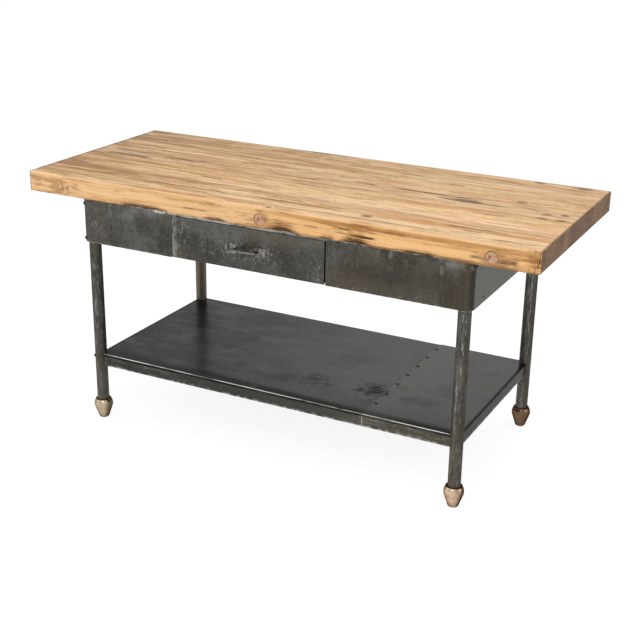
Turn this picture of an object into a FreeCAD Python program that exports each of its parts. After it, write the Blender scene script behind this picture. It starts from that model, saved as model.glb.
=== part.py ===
"""Kitchen island: a laminated timber top on a sheet steel frame with one drawer and a low shelf.

Millimetres. X runs along the length, the front faces -Y and Z points up. The origin is on the
floor under the centre of the top.
"""
import FreeCAD, Part
import math
import os

import Sketcher

# Driving dimensions
SIZES = {
    # timber top
    "top_height": 900,
    "top_length": 1830,
    "top_thickness": 70,
    "strip_width": 44.7,
    "strip_count": 17,
    "edge_ease": 2,
    # tie rods through the strips
    "tie_rod_count": 3,
    "tie_rod_spacing": 768,
    "tie_rod_drop": 42,
    "tie_rod_diameter": 12.7,
    "tie_rod_clearance": 0.8,
    "tie_rod_proud": 3,
    "washer_diameter": 34,
    "washer_thickness": 3,
    "nut_flats": 19,
    "nut_thickness": 11,
    "plug_diameter": 40,
    "plug_thickness": 12,
    "plug_gap": 1,
    "glue_gap": 0.1,
    "pilot_gap": 1,
    # legs and feet
    "overhang_end": 203,
    "overhang_front": 15,
    "corner_radius": 30,
    "leg_diameter": 42.4,
    "leg_wall": 3.2,
    "fit_gap": 0.2,
    "foot_height": 74,
    "foot_diameter": 66,
    "foot_base_diameter": 20,
    "foot_edge_radius": 9,
    "foot_neck_diameter": 55,
    "foot_collar_height": 2,
    "spigot_length": 30,
    # apron
    "apron_height": 156,
    "sheet": 2,
    "corner_return_left": 124,
    "corner_return_right": 99,
    "corner_return_side": 115,
    "front_seam": 447,
    "flange_depth": 25,
    "lip_depth": 18,
    "flange_relief": 8,
    "rivet_tail": 1,
    "strap_width": 40,
    "gusset_size": 64,
    "gusset_thickness": 4,
    "weld_leg": 4,
    # screws and rivets of the frame
    "top_screw_diameter": 5,
    "top_screw_length": 18,
    "top_screw_flats": 10,
    "top_screw_head_height": 3,
    "top_screw_inset": 19,
    "top_screw_end": 45,
    "side_screw_strip": 4,
    "corner_screw_diameter": 6,
    "corner_screw_head": 10,
    "corner_screw_head_height": 3,
    "corner_screw_washer": 14,
    "corner_screw_washer_height": 1.5,
    "corner_screw_drop": 22,
    "corner_screw_length": 16,
    "side_rivet_diameter": 5,
    "side_rivet_head": 9,
    "side_rivet_head_height": 2,
    "side_rivet_edge": 9,
    "side_rivet_rise": 18,
    # drawer
    "drawer_centre": -60,
    "drawer_width": 564,
    "drawer_gap_left": 2,
    "drawer_gap_right": 5,
    "drawer_gap_top": 2,
    "drawer_lift": 2,
    "drawer_return": 6,
    "rail_height": 10,
    "runner_leg": 25,
    "runner_thickness": 3,
    "runner_lift": 6,
    "runner_setback": 2,
    "slide_gap": 0.3,
    "tray_sheet": 1.5,
    "tray_inset": 4,
    "tray_height": 106,
    "tray_back_gap": 115,
    "drawer_travel": 420,
    "stop_gap": 1,
    "stop_leg": 25,
    "stop_rise": 6,
    "stop_tab_width": 80,
    "stop_tab_height": 22,
    "stop_tab_overlap": 30,
    # drawer pull
    "pull_length": 153,
    "pull_rise": 67,
    "pull_plate_width": 41,
    "pull_plate_height": 33,
    "pull_plate_thickness": 2.5,
    "pull_plate_corner": 4,
    "pull_rod_diameter": 8,
    "pull_rod_edge": 5,
    "pull_rod_bend": 10,
    "pull_standoff": 20,
    "pull_rivet_diameter": 4,
    "pull_rivet_head": 8,
    "pull_rivet_head_height": 2,
    "pull_rivet_inset": 11,
    "pull_rivet_spread": 18,
    # shelf
    "shelf_rim_height": 253,
    "shelf_rim_depth": 6,
    "shelf_hem": 4,
    "shelf_skirt": 44,
    "shelf_offset": 10,
    "shelf_bend": 1.5,
    "shelf_fold": 3,
    "shelf_seam": 358,
    "shelf_lap_over": 8,
    "shelf_lap_under": 14,
    "shelf_lap_gap": 1,
    "shelf_rivet_count": 7,
    "shelf_rivet_pitch": 88.7,
    "shelf_rivet_offset": 23,
    "shelf_rivet_diameter": 5,
    "shelf_rivet_head": 9,
    "shelf_rivet_head_height": 2.5,
}

doc = FreeCAD.newDocument("kitchen_island")
sheet = doc.addObject("Spreadsheet::Sheet", "Size")
for row, (alias, number) in enumerate(SIZES.items(), start=1):
    sheet.set(f"A{row}", alias)
    sheet.set(f"B{row}", str(number))
    sheet.setAlias(f"B{row}", alias)
doc.recompute()

# Places that several pieces share, worked out from the driving dimensions
TOP_DEPTH = "(Size.strip_width * Size.strip_count)"
UNDERSIDE = "(Size.top_height - Size.top_thickness)"
TIE_ROD_Z = "(Size.top_height - Size.tie_rod_drop)"
ROD_END = "(Size.washer_thickness + Size.nut_thickness + Size.tie_rod_proud)"
COUNTERBORE = f"({ROD_END} + Size.plug_gap + Size.plug_thickness)"
SEAT_Y = f"({TOP_DEPTH} / 2 - {COUNTERBORE})"
APRON_X = "(Size.top_length / 2 - Size.overhang_end)"
APRON_Y = f"({TOP_DEPTH} / 2 - Size.overhang_front)"
APRON_Z = f"({UNDERSIDE} - Size.apron_height)"
LEG_X = f"({APRON_X} - Size.corner_radius)"
LEG_Y = f"({APRON_Y} - Size.corner_radius)"
CORNER_SCREW_Z = f"({UNDERSIDE} - Size.corner_screw_drop)"
PLATE_LEFT = f"(-{APRON_X} + Size.corner_return_left)"
PLATE_RIGHT = f"({APRON_X} - Size.corner_return_right)"
SIDE_HALF = f"({APRON_Y} - Size.corner_return_side)"
SIDE_RIVET_Y = f"({SIDE_HALF} + Size.side_rivet_edge)"
SIDE_RIVET_Z = f"({APRON_Z} + Size.side_rivet_rise)"
DRAWER_LEFT = "(Size.drawer_centre - Size.drawer_width / 2)"
DRAWER_RIGHT = "(Size.drawer_centre + Size.drawer_width / 2)"
BAY_LEFT = f"({DRAWER_LEFT} - Size.drawer_gap_left)"
BAY_RIGHT = f"({DRAWER_RIGHT} + Size.drawer_gap_right)"
BAY_BACK = f"({APRON_Y} - Size.sheet - Size.flange_depth - Size.fit_gap)"
DRAWER_Z = f"({APRON_Z} + Size.drawer_lift)"
DRAWER_HEIGHT = "(Size.apron_height - Size.rail_height - Size.drawer_gap_top - Size.drawer_lift)"
RUNNER_Z = f"({APRON_Z} + Size.runner_lift)"
TRAY_LEFT = f"({DRAWER_LEFT} + Size.sheet + Size.tray_inset)"
TRAY_RIGHT = f"({DRAWER_RIGHT} - Size.sheet - Size.tray_inset)"
TRAY_FRONT = f"(-{APRON_Y} + Size.sheet)"
TRAY_BACK = f"({APRON_Y} - Size.sheet - Size.tray_back_gap)"
TRAY_Z = f"({RUNNER_Z} + Size.runner_thickness + Size.slide_gap)"
PULL_Z = f"({DRAWER_Z} + Size.pull_rise)"
PULL_RIVET_HOLE = "(Size.pull_rivet_diameter + 2 * Size.glue_gap)"
SIDE_SCREW_Y = f"({TOP_DEPTH} / 2 - (Size.side_screw_strip - 0.5) * Size.strip_width)"
SHELF_X = f"({LEG_X} + Size.shelf_offset)"
SHELF_Y = f"({LEG_Y} + Size.shelf_offset)"
SHELF_LEFT_Z = "(Size.shelf_rim_height - Size.shelf_rim_depth)"
SHELF_RIGHT_Z = f"({SHELF_LEFT_Z} + Size.sheet)"
SHELF_RIVET_X = "(Size.shelf_seam + (Size.shelf_lap_under - Size.shelf_lap_over) / 2)"

PARTS = []
TOLERANCE = 0.01
FULL_TURN = "360 deg"
# Codes of a sketch's points: the start, end and centre of a line or an arc
START, END, CENTRE = range(1, 4)


def value(expression):
    return sheet.evalExpression(expression)


def finish(piece):
    """Counts a finished document object as a sub-part to be written."""
    PARTS.append(piece)
    return piece


def new_body(label):
    body = doc.addObject("PartDesign::Body", label)
    body.Label = label
    return body


def place(piece, x="0", y="0", z="0", axis=(0, 0, 1), angle=0):
    """Sets a piece's Placement: its base from three expressions, its turn about one axis."""
    piece.Placement.Rotation = FreeCAD.Rotation(FreeCAD.Vector(*axis), angle)
    for name, expression in zip("xyz", (x, y, z)):
        piece.setExpression(f"Placement.Base.{name}", expression)
    return piece


def origin_feature(body, role):
    return next(feature for feature in body.Origin.OriginFeatures if feature.Role == role)


def new_sketch(body, role, offset="0"):
    """An empty sketch on one of the body's own planes, moved along that plane's normal."""
    sketch = body.newObject("Sketcher::SketchObject", f"{body.Name}_sketch")
    sketch.AttachmentSupport = (origin_feature(body, role), [""])
    sketch.MapMode = "FlatFace"
    sketch.setExpression("AttachmentOffset.Base.z", offset)
    return sketch


def constrain(sketch, kind, where, expression):
    index = sketch.addConstraint(Sketcher.Constraint(kind, *where, value(expression)))
    sketch.setExpression(f"Constraints[{index}]", expression)


def fix_point(sketch, geometry, point, x, y):
    """Ties one point of the sketch to two expressions, measured from the sketch's origin."""
    constrain(sketch, "DistanceX", (-1, START, geometry, point), x)
    constrain(sketch, "DistanceY", (-1, START, geometry, point), y)


def outline(sketch, corners):
    """A closed polygon whose corners are pairs of expressions."""
    places = [FreeCAD.Vector(value(x), value(y), 0) for x, y in corners]
    first = sketch.GeometryCount
    count = len(corners)
    for index in range(count):
        sketch.addGeometry(Part.LineSegment(places[index], places[(index + 1) % count]), False)
    for index in range(count):
        following = first + (index + 1) % count
        sketch.addConstraint(Sketcher.Constraint("Coincident", first + index, END, following, START))
    for index, (x, y) in enumerate(corners):
        fix_point(sketch, first + index, START, x, y)


def rectangle(sketch, left, right, bottom, top):
    outline(sketch, [(left, bottom), (right, bottom), (right, top), (left, top)])


def hexagon(sketch, x, y, flats):
    """A regular hexagon about a centre, from its width across the flats."""
    reach = f"{flats} / sqrt(3)"
    corners = []
    for sixth in range(6):
        turn = f"{sixth} / 6 * {FULL_TURN}"
        corners.append((f"{x} + {reach} * cos({turn})", f"{y} + {reach} * sin({turn})"))
    outline(sketch, corners)


def circle(sketch, x, y, diameter):
    centre = FreeCAD.Vector(value(x), value(y), 0)
    round_edge = Part.Circle(centre, FreeCAD.Vector(0, 0, 1), value(diameter) / 2)
    index = sketch.addGeometry(round_edge, False)
    constrain(sketch, "Diameter", (index,), diameter)
    fix_point(sketch, index, CENTRE, x, y)


def pad(body, sketch, length, reverse=False):
    feature = body.newObject("PartDesign::Pad", f"{body.Name}_pad")
    feature.Profile = sketch
    feature.Reversed = reverse
    feature.setExpression("Length", length)
    doc.recompute()
    return feature


def pocket(body, sketch, depth, reverse=False):
    """Cuts the sketch into the body and checks that material really went."""
    before = body.Shape.Volume
    feature = body.newObject("PartDesign::Pocket", f"{body.Name}_pocket")
    feature.Profile = sketch
    feature.Reversed = reverse
    feature.setExpression("Length", depth)
    doc.recompute()
    if body.Shape.Volume > before - TOLERANCE:
        raise RuntimeError(f"{feature.Name} cuts nothing")
    return feature


def revolve(body, sketch):
    """Turns the sketch once round the body's Z axis."""
    feature = body.newObject("PartDesign::Revolution", f"{body.Name}_revolution")
    feature.Profile = sketch
    feature.ReferenceAxis = (origin_feature(body, "Z_Axis"), [""])
    feature.setExpression("Angle", FULL_TURN)
    doc.recompute()
    return feature


def dress(body, kind, size_name, size, chosen):
    """Rounds or chamfers the edges of the body's tip that the chosen test picks."""
    base = body.Tip
    names = [f"Edge{i}" for i, edge in enumerate(base.Shape.Edges, start=1) if chosen(edge)]
    feature = body.newObject(f"PartDesign::{kind}", f"{body.Name}_{kind.lower()}")
    feature.Base = (base, names)
    feature.setExpression(size_name, size)
    doc.recompute()
    return feature


def repeat(body, axis, count, pitch):
    """Repeats the body's last feature along one axis."""
    pattern = body.newObject("PartDesign::LinearPattern", f"{body.Name}_pattern")
    pattern.Originals = [body.Tip]
    pattern.Direction = (origin_feature(body, axis), [""])
    pattern.Mode = "Spacing"
    pattern.setExpression("Offset", pitch)
    pattern.setExpression("Occurrences", count)
    body.Tip = pattern
    doc.recompute()
    return pattern


def mirror(body, plane):
    """Adds the mirror image of the body's whole shape."""
    feature = body.newObject("PartDesign::Mirrored", f"{body.Name}_mirrored")
    feature.TransformMode = "Whole shape"
    feature.MirrorPlane = (origin_feature(body, plane), [""])
    body.Tip = feature
    doc.recompute()
    return feature


def group(label, pieces):
    """Separate solids that share one node."""
    compound = doc.addObject("Part::Compound", label)
    compound.Label = label
    compound.Links = pieces
    return finish(compound)


def middle(edge):
    return edge.CenterOfMass


def near(number, expression):
    return abs(number - value(expression)) < TOLERANCE


def upright(edge):
    """True for a straight edge that runs along Z."""
    box = edge.BoundBox
    return box.XLength < TOLERANCE and box.YLength < TOLERANCE


# Timber top
def tie_rod_places():
    count = int(value("Size.tie_rod_count"))
    return [f"({index} - (Size.tie_rod_count - 1) / 2) * Size.tie_rod_spacing" for index in range(count)]


def top_strip(number, screw_places):
    """One strip on edge, bored for the tie rods and drilled from below for the frame's screws."""
    count = int(value("Size.strip_count"))
    body = new_body(f"top_strip_{number:02d}")
    back = f"({number} * Size.strip_width - {TOP_DEPTH} / 2)"
    end, ease = "Size.top_length / 2", "Size.edge_ease"
    high, low = "Size.top_height", UNDERSIDE
    sketch = new_sketch(body, "XZ_Plane", f"-{back}")
    outline(sketch, [
        (f"-{end} + {ease}", low),
        (f"{end} - {ease}", low),
        (end, f"{low} + {ease}"),
        (end, f"{high} - {ease}"),
        (f"{end} - {ease}", high),
        (f"-{end} + {ease}", high),
        (f"-{end}", f"{high} - {ease}"),
        (f"-{end}", f"{low} + {ease}"),
    ])
    for x in tie_rod_places():
        circle(sketch, x, TIE_ROD_Z, "Size.tie_rod_diameter + 2 * Size.tie_rod_clearance")
    pad(body, sketch, "Size.strip_width")
    if number in (1, count):
        side = -1 if number == 1 else 1
        face = f"({side} * {TOP_DEPTH} / 2)"
        dress(body, "Chamfer", "Size", ease, lambda edge: long_outer_edge(edge, face))
        seat = new_sketch(body, "XZ_Plane", f"-{face}")
        for x in tie_rod_places():
            circle(seat, x, TIE_ROD_Z, "Size.plug_diameter + 2 * Size.glue_gap")
        pocket(body, seat, COUNTERBORE, reverse=side > 0)
    if screw_places:
        pilots = new_sketch(body, "XY_Plane", low)
        for x, y in screw_places:
            circle(pilots, x, y, "Size.top_screw_diameter + 2 * Size.glue_gap")
        pocket(body, pilots, "Size.top_screw_length + Size.pilot_gap", reverse=True)
    return finish(body)


def long_outer_edge(edge, face):
    return near(middle(edge).y, face) and edge.BoundBox.XLength > value("Size.top_length / 2")


def tie_rods():
    body = new_body("tie_rods")
    half = f"({SEAT_Y} + {ROD_END})"
    sketch = new_sketch(body, "XZ_Plane", half)
    circle(sketch, tie_rod_places()[0], TIE_ROD_Z, "Size.tie_rod_diameter")
    pad(body, sketch, f"2 * {half}", reverse=True)
    repeat(body, "X_Axis", "Size.tie_rod_count", "Size.tie_rod_spacing")
    return finish(body)


def rod_end_pieces(label, inner, thickness, draw):
    """Discs or nuts on both ends of the tie rods; inner is the distance of their inside face."""
    body = new_body(label)
    sketch = new_sketch(body, "XZ_Plane", inner)
    draw(sketch, tie_rod_places()[0], TIE_ROD_Z)
    pad(body, sketch, thickness)
    repeat(body, "X_Axis", "Size.tie_rod_count", "Size.tie_rod_spacing")
    mirror(body, "XZ_Plane")
    return finish(body)


def draw_washer(sketch, x, z):
    circle(sketch, x, z, "Size.washer_diameter")
    circle(sketch, x, z, "Size.tie_rod_diameter + 2 * Size.fit_gap")


def draw_nut(sketch, x, z):
    hexagon(sketch, x, z, "Size.nut_flats")
    circle(sketch, x, z, "Size.tie_rod_diameter + 2 * Size.fit_gap")


def draw_plug(sketch, x, z):
    circle(sketch, x, z, "Size.plug_diameter")


# Legs and feet
CORNERS = {
    "front_left": (-1, -1),
    "front_right": (1, -1),
    "rear_left": (-1, 1),
    "rear_right": (1, 1),
}


def screw_angles(side, face):
    """Turns about Z, from -Y, of the two screws that tie a corner plate to its leg."""
    straight = 90 * side
    slanted = 45 * side if face < 0 else 135 * side
    return slanted, straight


def turned_sketch(body, x, y, z, angle):
    """A sketch on an upright plane whose normal is -Y turned about Z by the angle."""
    sketch = new_sketch(body, "XZ_Plane", f"-({y})")
    sketch.setExpression("AttachmentOffset.Base.x", x)
    sketch.setExpression("AttachmentOffset.Base.y", z)
    sketch.AttachmentOffset.Rotation = FreeCAD.Rotation(FreeCAD.Vector(0, 1, 0), angle)
    return sketch


def leg(corner, side, face):
    body = new_body(f"leg_{corner}")
    sketch = new_sketch(body, "XY_Plane")
    circle(sketch, "0", "0", "Size.leg_diameter")
    circle(sketch, "0", "0", "Size.leg_diameter - 2 * Size.leg_wall")
    pad(body, sketch, f"{UNDERSIDE} - Size.foot_height")
    for angle in screw_angles(side, face):
        hole = turned_sketch(body, "0", "0", f"{CORNER_SCREW_Z} - Size.foot_height", angle)
        circle(hole, "0", "0", "Size.corner_screw_diameter + 2 * Size.fit_gap")
        pocket(body, hole, "Size.leg_diameter", reverse=True)
    place(body, f"{side} * {LEG_X}", f"{face} * {LEG_Y}", "Size.foot_height")
    return finish(body)


def foot(corner, side, face):
    """Acorn foot: a ball drawn down to a rounded base, with a short collar and a spigot in the leg's bore."""
    body = new_body(f"foot_{corner}")
    sketch = new_sketch(body, "XZ_Plane")
    base, edge, belly = "Size.foot_base_diameter / 2", "Size.foot_edge_radius", "Size.foot_diameter / 2"
    neck, spigot = "Size.foot_neck_diameter / 2", "Size.leg_diameter / 2 - Size.leg_wall - Size.fit_gap"
    shoulder = "(Size.foot_height - Size.foot_collar_height)"
    belly_z = f"{shoulder} - sqrt(({belly}) ^ 2 - ({neck}) ^ 2)"
    top = "Size.foot_height + Size.spigot_length"
    straights = [
        ("0", top, "0", "0"),
        ("0", "0", base, "0"),
        (neck, shoulder, neck, "Size.foot_height"),
        (neck, "Size.foot_height", spigot, "Size.foot_height"),
        (spigot, "Size.foot_height", spigot, top),
        (spigot, top, "0", top),
    ]
    for index, (x1, z1, x2, z2) in enumerate(straights):
        start = FreeCAD.Vector(value(x1), value(z1), 0)
        end = FreeCAD.Vector(value(x2), value(z2), 0)
        sketch.addGeometry(Part.LineSegment(start, end), False)
        fix_point(sketch, index, START, x1, z1)
        fix_point(sketch, index, END, x2, z2)
    lean = taper_angle(value(base), value(edge), value(belly), value(belly_z))
    shoulder_turn = math.acos(value(neck) / value(belly))
    rounding = draw_arc(sketch, base, edge, edge, -math.pi / 2, lean)
    ball = draw_arc(sketch, "0", belly_z, belly, lean, shoulder_turn)
    taper = sketch.addGeometry(
        Part.LineSegment(sketch.getPoint(rounding, END), sketch.getPoint(ball, START)), False)
    sketch.addConstraint(Sketcher.Constraint("Coincident", rounding, START, 1, END))
    sketch.addConstraint(Sketcher.Constraint("Tangent", rounding, END, taper, START))
    sketch.addConstraint(Sketcher.Constraint("Tangent", taper, END, ball, START))
    sketch.addConstraint(Sketcher.Constraint("Coincident", ball, END, 2, START))
    revolve(body, sketch)
    place(body, f"{side} * {LEG_X}", f"{face} * {LEG_Y}")
    return finish(body)


def taper_angle(base, edge, belly, belly_z):
    """Angle at which a straight side leaves the ball to touch the rounding of the base."""
    rise = belly_z - edge
    apart = math.hypot(base, rise)
    return math.atan2(base, rise) - math.asin((belly - edge) / apart)


def draw_arc(sketch, x, z, radius, first, last):
    """An arc about a fixed centre, from one angle to another."""
    centre = FreeCAD.Vector(value(x), value(z), 0)
    round_edge = Part.Circle(centre, FreeCAD.Vector(0, 0, 1), value(radius))
    index = sketch.addGeometry(Part.ArcOfCircle(round_edge, first, last), False)
    fix_point(sketch, index, CENTRE, x, z)
    return index


def leg_welds():
    """Fillet welds round the legs, under the gussets."""
    inner = "(Size.leg_diameter / 2 + Size.glue_gap)"
    welds = []
    for corner, (side, face) in CORNERS.items():
        body = new_body(f"leg_weld_{corner}")
        sketch = new_sketch(body, "XZ_Plane")
        outline(sketch, [(inner, "0"), (f"{inner} + Size.weld_leg", "0"), (inner, "-Size.weld_leg")])
        revolve(body, sketch)
        welds.append(place(body, f"{side} * {LEG_X}", f"{face} * {LEG_Y}", APRON_Z))
    return group("leg_welds", welds)


# Apron
def corner_plate(corner, side, face):
    """Sheet bent round the leg, with one arm along the front or back and one along the side."""
    body = new_body(f"corner_plate_{corner}")
    run = "Size.corner_return_left" if side < 0 else "Size.corner_return_right"
    far_x, far_y = f"{side} * {APRON_X}", f"{face} * {APRON_Y}"
    end_x, end_y = f"{side} * ({APRON_X} - {run})", f"{face} * {SIDE_HALF}"
    in_x, in_y = f"{side} * ({APRON_X} - Size.sheet)", f"{face} * ({APRON_Y} - Size.sheet)"
    sketch = new_sketch(body, "XY_Plane", APRON_Z)
    outline(sketch, [
        (end_x, far_y),
        (far_x, far_y),
        (far_x, end_y),
        (in_x, end_y),
        (in_x, in_y),
        (end_x, in_y),
    ])
    pad(body, sketch, "Size.apron_height")
    dress(body, "Fillet", "Radius", "Size.corner_radius",
          lambda edge: upright(edge) and near(middle(edge).x, far_x) and near(middle(edge).y, far_y))
    dress(body, "Fillet", "Radius", "Size.corner_radius - Size.sheet",
          lambda edge: upright(edge) and near(middle(edge).x, in_x) and near(middle(edge).y, in_y))
    for angle in screw_angles(side, face):
        hole = turned_sketch(body, f"{side} * {LEG_X}", f"{face} * {LEG_Y}", CORNER_SCREW_Z, angle)
        circle(hole, "0", "0", "Size.corner_screw_diameter + 2 * Size.fit_gap")
        pocket(body, hole, "2 * Size.corner_radius", reverse=True)
    rivet = new_sketch(body, "YZ_Plane", far_x)
    circle(rivet, f"{face} * {SIDE_RIVET_Y}", SIDE_RIVET_Z, "Size.side_rivet_diameter + 2 * Size.glue_gap")
    pocket(body, rivet, "2 * Size.sheet", reverse=side < 0)
    return finish(body)


def panel(label, length, screws, x, y, angle, height="Size.apron_height", lip=True):
    """Folded sheet: an upright web, a flange under the top and a lip along the bottom.

    It is drawn from its left end, seen from outside, with the flange turned inwards.
    """
    body = new_body(label)
    web = new_sketch(body, "XZ_Plane")
    rectangle(web, "0", length, "0", height)
    pad(body, web, "Size.sheet", reverse=True)
    folds = [(f"{height} - Size.sheet", "Size.flange_depth")]
    if lip:
        folds.append(("0", "Size.lip_depth"))
    for fold_z, depth in folds:
        fold = new_sketch(body, "XY_Plane", fold_z)
        rectangle(fold, "Size.flange_relief", f"{length} - Size.flange_relief", "0", depth)
        pad(body, fold, "Size.sheet")
    holes = new_sketch(body, "XY_Plane", height)
    for screw in screws:
        circle(holes, screw, "Size.top_screw_inset", "Size.top_screw_diameter + 2 * Size.fit_gap")
    pocket(body, holes, "Size.sheet")
    place(body, x, y, f"{UNDERSIDE} - {height}", angle=angle)
    return finish(body)


def end_screws(length):
    """Screw places near both ends of a flange."""
    return ["Size.top_screw_end", f"{length} - Size.top_screw_end"]


def seam_strap(name, x, y, angle, riveted=False):
    """Backing strap behind a butt seam, drawn centred on the seam and against the sheet's inside."""
    body = new_body(name)
    sketch = new_sketch(body, "XZ_Plane")
    rise = "2 * Size.sheet"
    rectangle(sketch, "-Size.strap_width / 2", "Size.strap_width / 2", rise, f"Size.apron_height - {rise}")
    if riveted:
        circle(sketch, f"{riveted} * Size.side_rivet_edge", "Size.side_rivet_rise",
               "Size.side_rivet_diameter + 2 * Size.glue_gap")
    pad(body, sketch, "Size.sheet", reverse=True)
    return place(body, x, y, APRON_Z, angle=angle)


def seam_straps():
    front, back = f"-{APRON_Y} + Size.sheet", f"{APRON_Y} - Size.sheet"
    left, right = f"-{APRON_X} + Size.sheet", f"{APRON_X} - Size.sheet"
    straps = [
        seam_strap("strap_front_left", PLATE_LEFT, front, 0),
        seam_strap("strap_front_seam", "Size.front_seam", front, 0),
        seam_strap("strap_front_right", PLATE_RIGHT, front, 0),
        seam_strap("strap_back_left", PLATE_LEFT, back, 180),
        seam_strap("strap_back_right", PLATE_RIGHT, back, 180),
        seam_strap("strap_right_front", right, f"-{SIDE_HALF}", 90, riveted=-1),
        seam_strap("strap_right_back", right, SIDE_HALF, 90, riveted=1),
        seam_strap("strap_left_front", left, f"-{SIDE_HALF}", -90, riveted=1),
        seam_strap("strap_left_back", left, SIDE_HALF, -90, riveted=-1),
    ]
    return group("seam_straps", straps)


def gussets():
    """Plates that close the bottom of each apron corner round its leg."""
    body = new_body("corner_gussets")
    far_x, far_y = f"{APRON_X} - Size.sheet", f"{APRON_Y} - Size.sheet"
    sketch = new_sketch(body, "XY_Plane", APRON_Z)
    rectangle(sketch, f"{far_x} - Size.gusset_size", far_x, f"{far_y} - Size.gusset_size", far_y)
    circle(sketch, LEG_X, LEG_Y, "Size.leg_diameter + 2 * Size.glue_gap")
    pad(body, sketch, "Size.gusset_thickness")
    dress(body, "Fillet", "Radius", "Size.corner_radius",
          lambda edge: upright(edge) and near(middle(edge).x, far_x) and near(middle(edge).y, far_y))
    mirror(body, "YZ_Plane")
    mirror(body, "XZ_Plane")
    return finish(body)


# Screws and rivets
def headed_pin(name, head, head_height, shank, length, washer=None, washer_height="0"):
    """A tapered head on a plain shank, drawn head up from its seat; a washer may be part of the head."""
    body = new_body(name)
    sketch = new_sketch(body, "XZ_Plane")
    corners = [("0", f"-({length})"), (f"{shank} / 2", f"-({length})"), (f"{shank} / 2", "0")]
    if washer:
        corners += [(f"{washer} / 2", "0"), (f"{washer} / 2", washer_height)]
    top = f"{washer_height} + {head_height}"
    corners += [(f"{head} / 2", washer_height), (f"{head} / 4", top), ("0", top)]
    outline(sketch, corners)
    revolve(body, sketch)
    return body


def top_screws(places):
    """Hexagon-headed screws up through the flanges into the timber."""
    body = new_body("top_screws")
    seat = f"({UNDERSIDE} - Size.sheet)"
    heads = new_sketch(body, "XY_Plane", seat)
    shanks = new_sketch(body, "XY_Plane", seat)
    for x, y in places:
        hexagon(heads, x, y, "Size.top_screw_flats")
        circle(shanks, x, y, "Size.top_screw_diameter")
    pad(body, heads, "Size.top_screw_head_height", reverse=True)
    pad(body, shanks, "Size.sheet + Size.top_screw_length")
    return finish(body)


def corner_screws():
    screws = []
    for corner, (side, face) in CORNERS.items():
        for angle in screw_angles(side, face):
            screw = headed_pin(
                f"corner_screw_{corner}",
                "Size.corner_screw_head",
                "Size.corner_screw_head_height",
                "Size.corner_screw_diameter",
                "Size.corner_screw_length",
                "Size.corner_screw_washer",
                "Size.corner_screw_washer_height",
            )
            x = f"{side} * {LEG_X} + Size.corner_radius * sin({angle} deg)"
            y = f"{face} * {LEG_Y} - Size.corner_radius * cos({angle} deg)"
            place(screw, x, y, CORNER_SCREW_Z)
            outward = FreeCAD.Rotation(FreeCAD.Vector(0, 0, 1), angle)
            screw.Placement.Rotation = outward.multiply(FreeCAD.Rotation(FreeCAD.Vector(1, 0, 0), 90))
            screws.append(screw)
    return group("corner_screws", screws)


def side_rivets():
    rivets = []
    for corner, (side, face) in CORNERS.items():
        rivet = headed_pin(f"side_rivet_{corner}", "Size.side_rivet_head", "Size.side_rivet_head_height",
                           "Size.side_rivet_diameter", "2 * Size.sheet + Size.rivet_tail")
        x, y = f"{side} * {APRON_X}", f"{face} * {SIDE_RIVET_Y}"
        place(rivet, x, y, SIDE_RIVET_Z, axis=(0, 1, 0), angle=90 * side)
        rivets.append(rivet)
    return group("side_rivets", rivets)


# Drawer bay and drawer
def bay_wall(label, inner, side):
    """Upright sheet beside the drawer with a flange turned away from it under the top."""
    body = new_body(label)
    outer = f"({inner} + {side} * Size.sheet)"
    flange = f"({inner} + {side} * Size.flange_depth)"
    front, back = f"-{APRON_Y} + Size.sheet", BAY_BACK
    web = new_sketch(body, "XY_Plane", f"{APRON_Z} + Size.sheet")
    rectangle(web, inner, outer, front, back)
    pad(body, web, "Size.apron_height - Size.sheet")
    fold = new_sketch(body, "XY_Plane", f"{UNDERSIDE} - Size.sheet")
    relief = "Size.flange_depth + Size.flange_relief"
    rectangle(fold, inner, flange, f"{front} + {relief}", f"{back} - Size.flange_relief")
    pad(body, fold, "Size.sheet")
    holes = new_sketch(body, "XY_Plane", UNDERSIDE)
    for x, y in bay_screws(inner, side):
        circle(holes, x, y, "Size.top_screw_diameter + 2 * Size.fit_gap")
    pocket(body, holes, "Size.sheet")
    return finish(body)


def bay_screws(inner, side):
    x = f"{inner} + {side} * Size.top_screw_inset"
    return [(x, f"-{SIDE_SCREW_Y}"), (x, SIDE_SCREW_Y)]


def runner(label, inner, side):
    """Angle runner on the bay wall; the tray's floor slides on its level leg."""
    body = new_body(label)
    front = f"(-{APRON_Y} + Size.drawer_return + Size.runner_setback)"
    sketch = new_sketch(body, "XZ_Plane", f"-{front}")
    edge, root = f"{inner} - {side} * Size.runner_leg", f"{inner} - {side} * Size.runner_thickness"
    step, top = f"{RUNNER_Z} + Size.runner_thickness", f"{RUNNER_Z} + Size.runner_leg"
    outline(sketch, [
        (inner, RUNNER_Z),
        (edge, RUNNER_Z),
        (edge, step),
        (root, step),
        (root, top),
        (inner, top),
    ])
    pad(body, sketch, f"{BAY_BACK} - {front}", reverse=True)
    return finish(body)


def drawer_stop():
    """Angle across the bay that the tab on the tray's back meets at full travel."""
    body = new_body("drawer_stop")
    back = f"({TRAY_BACK} - Size.drawer_travel - Size.stop_gap)"
    low = f"({TRAY_Z} + Size.tray_height + Size.stop_rise)"
    high = f"({low} + Size.stop_leg)"
    sketch = new_sketch(body, "YZ_Plane", BAY_LEFT)
    outline(sketch, [
        (back, low),
        (back, high),
        (f"{back} - Size.stop_leg", high),
        (f"{back} - Size.stop_leg", f"{high} - Size.sheet"),
        (f"{back} - Size.sheet", f"{high} - Size.sheet"),
        (f"{back} - Size.sheet", low),
    ])
    pad(body, sketch, f"{BAY_RIGHT} - {BAY_LEFT}")
    return finish(body)


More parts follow.
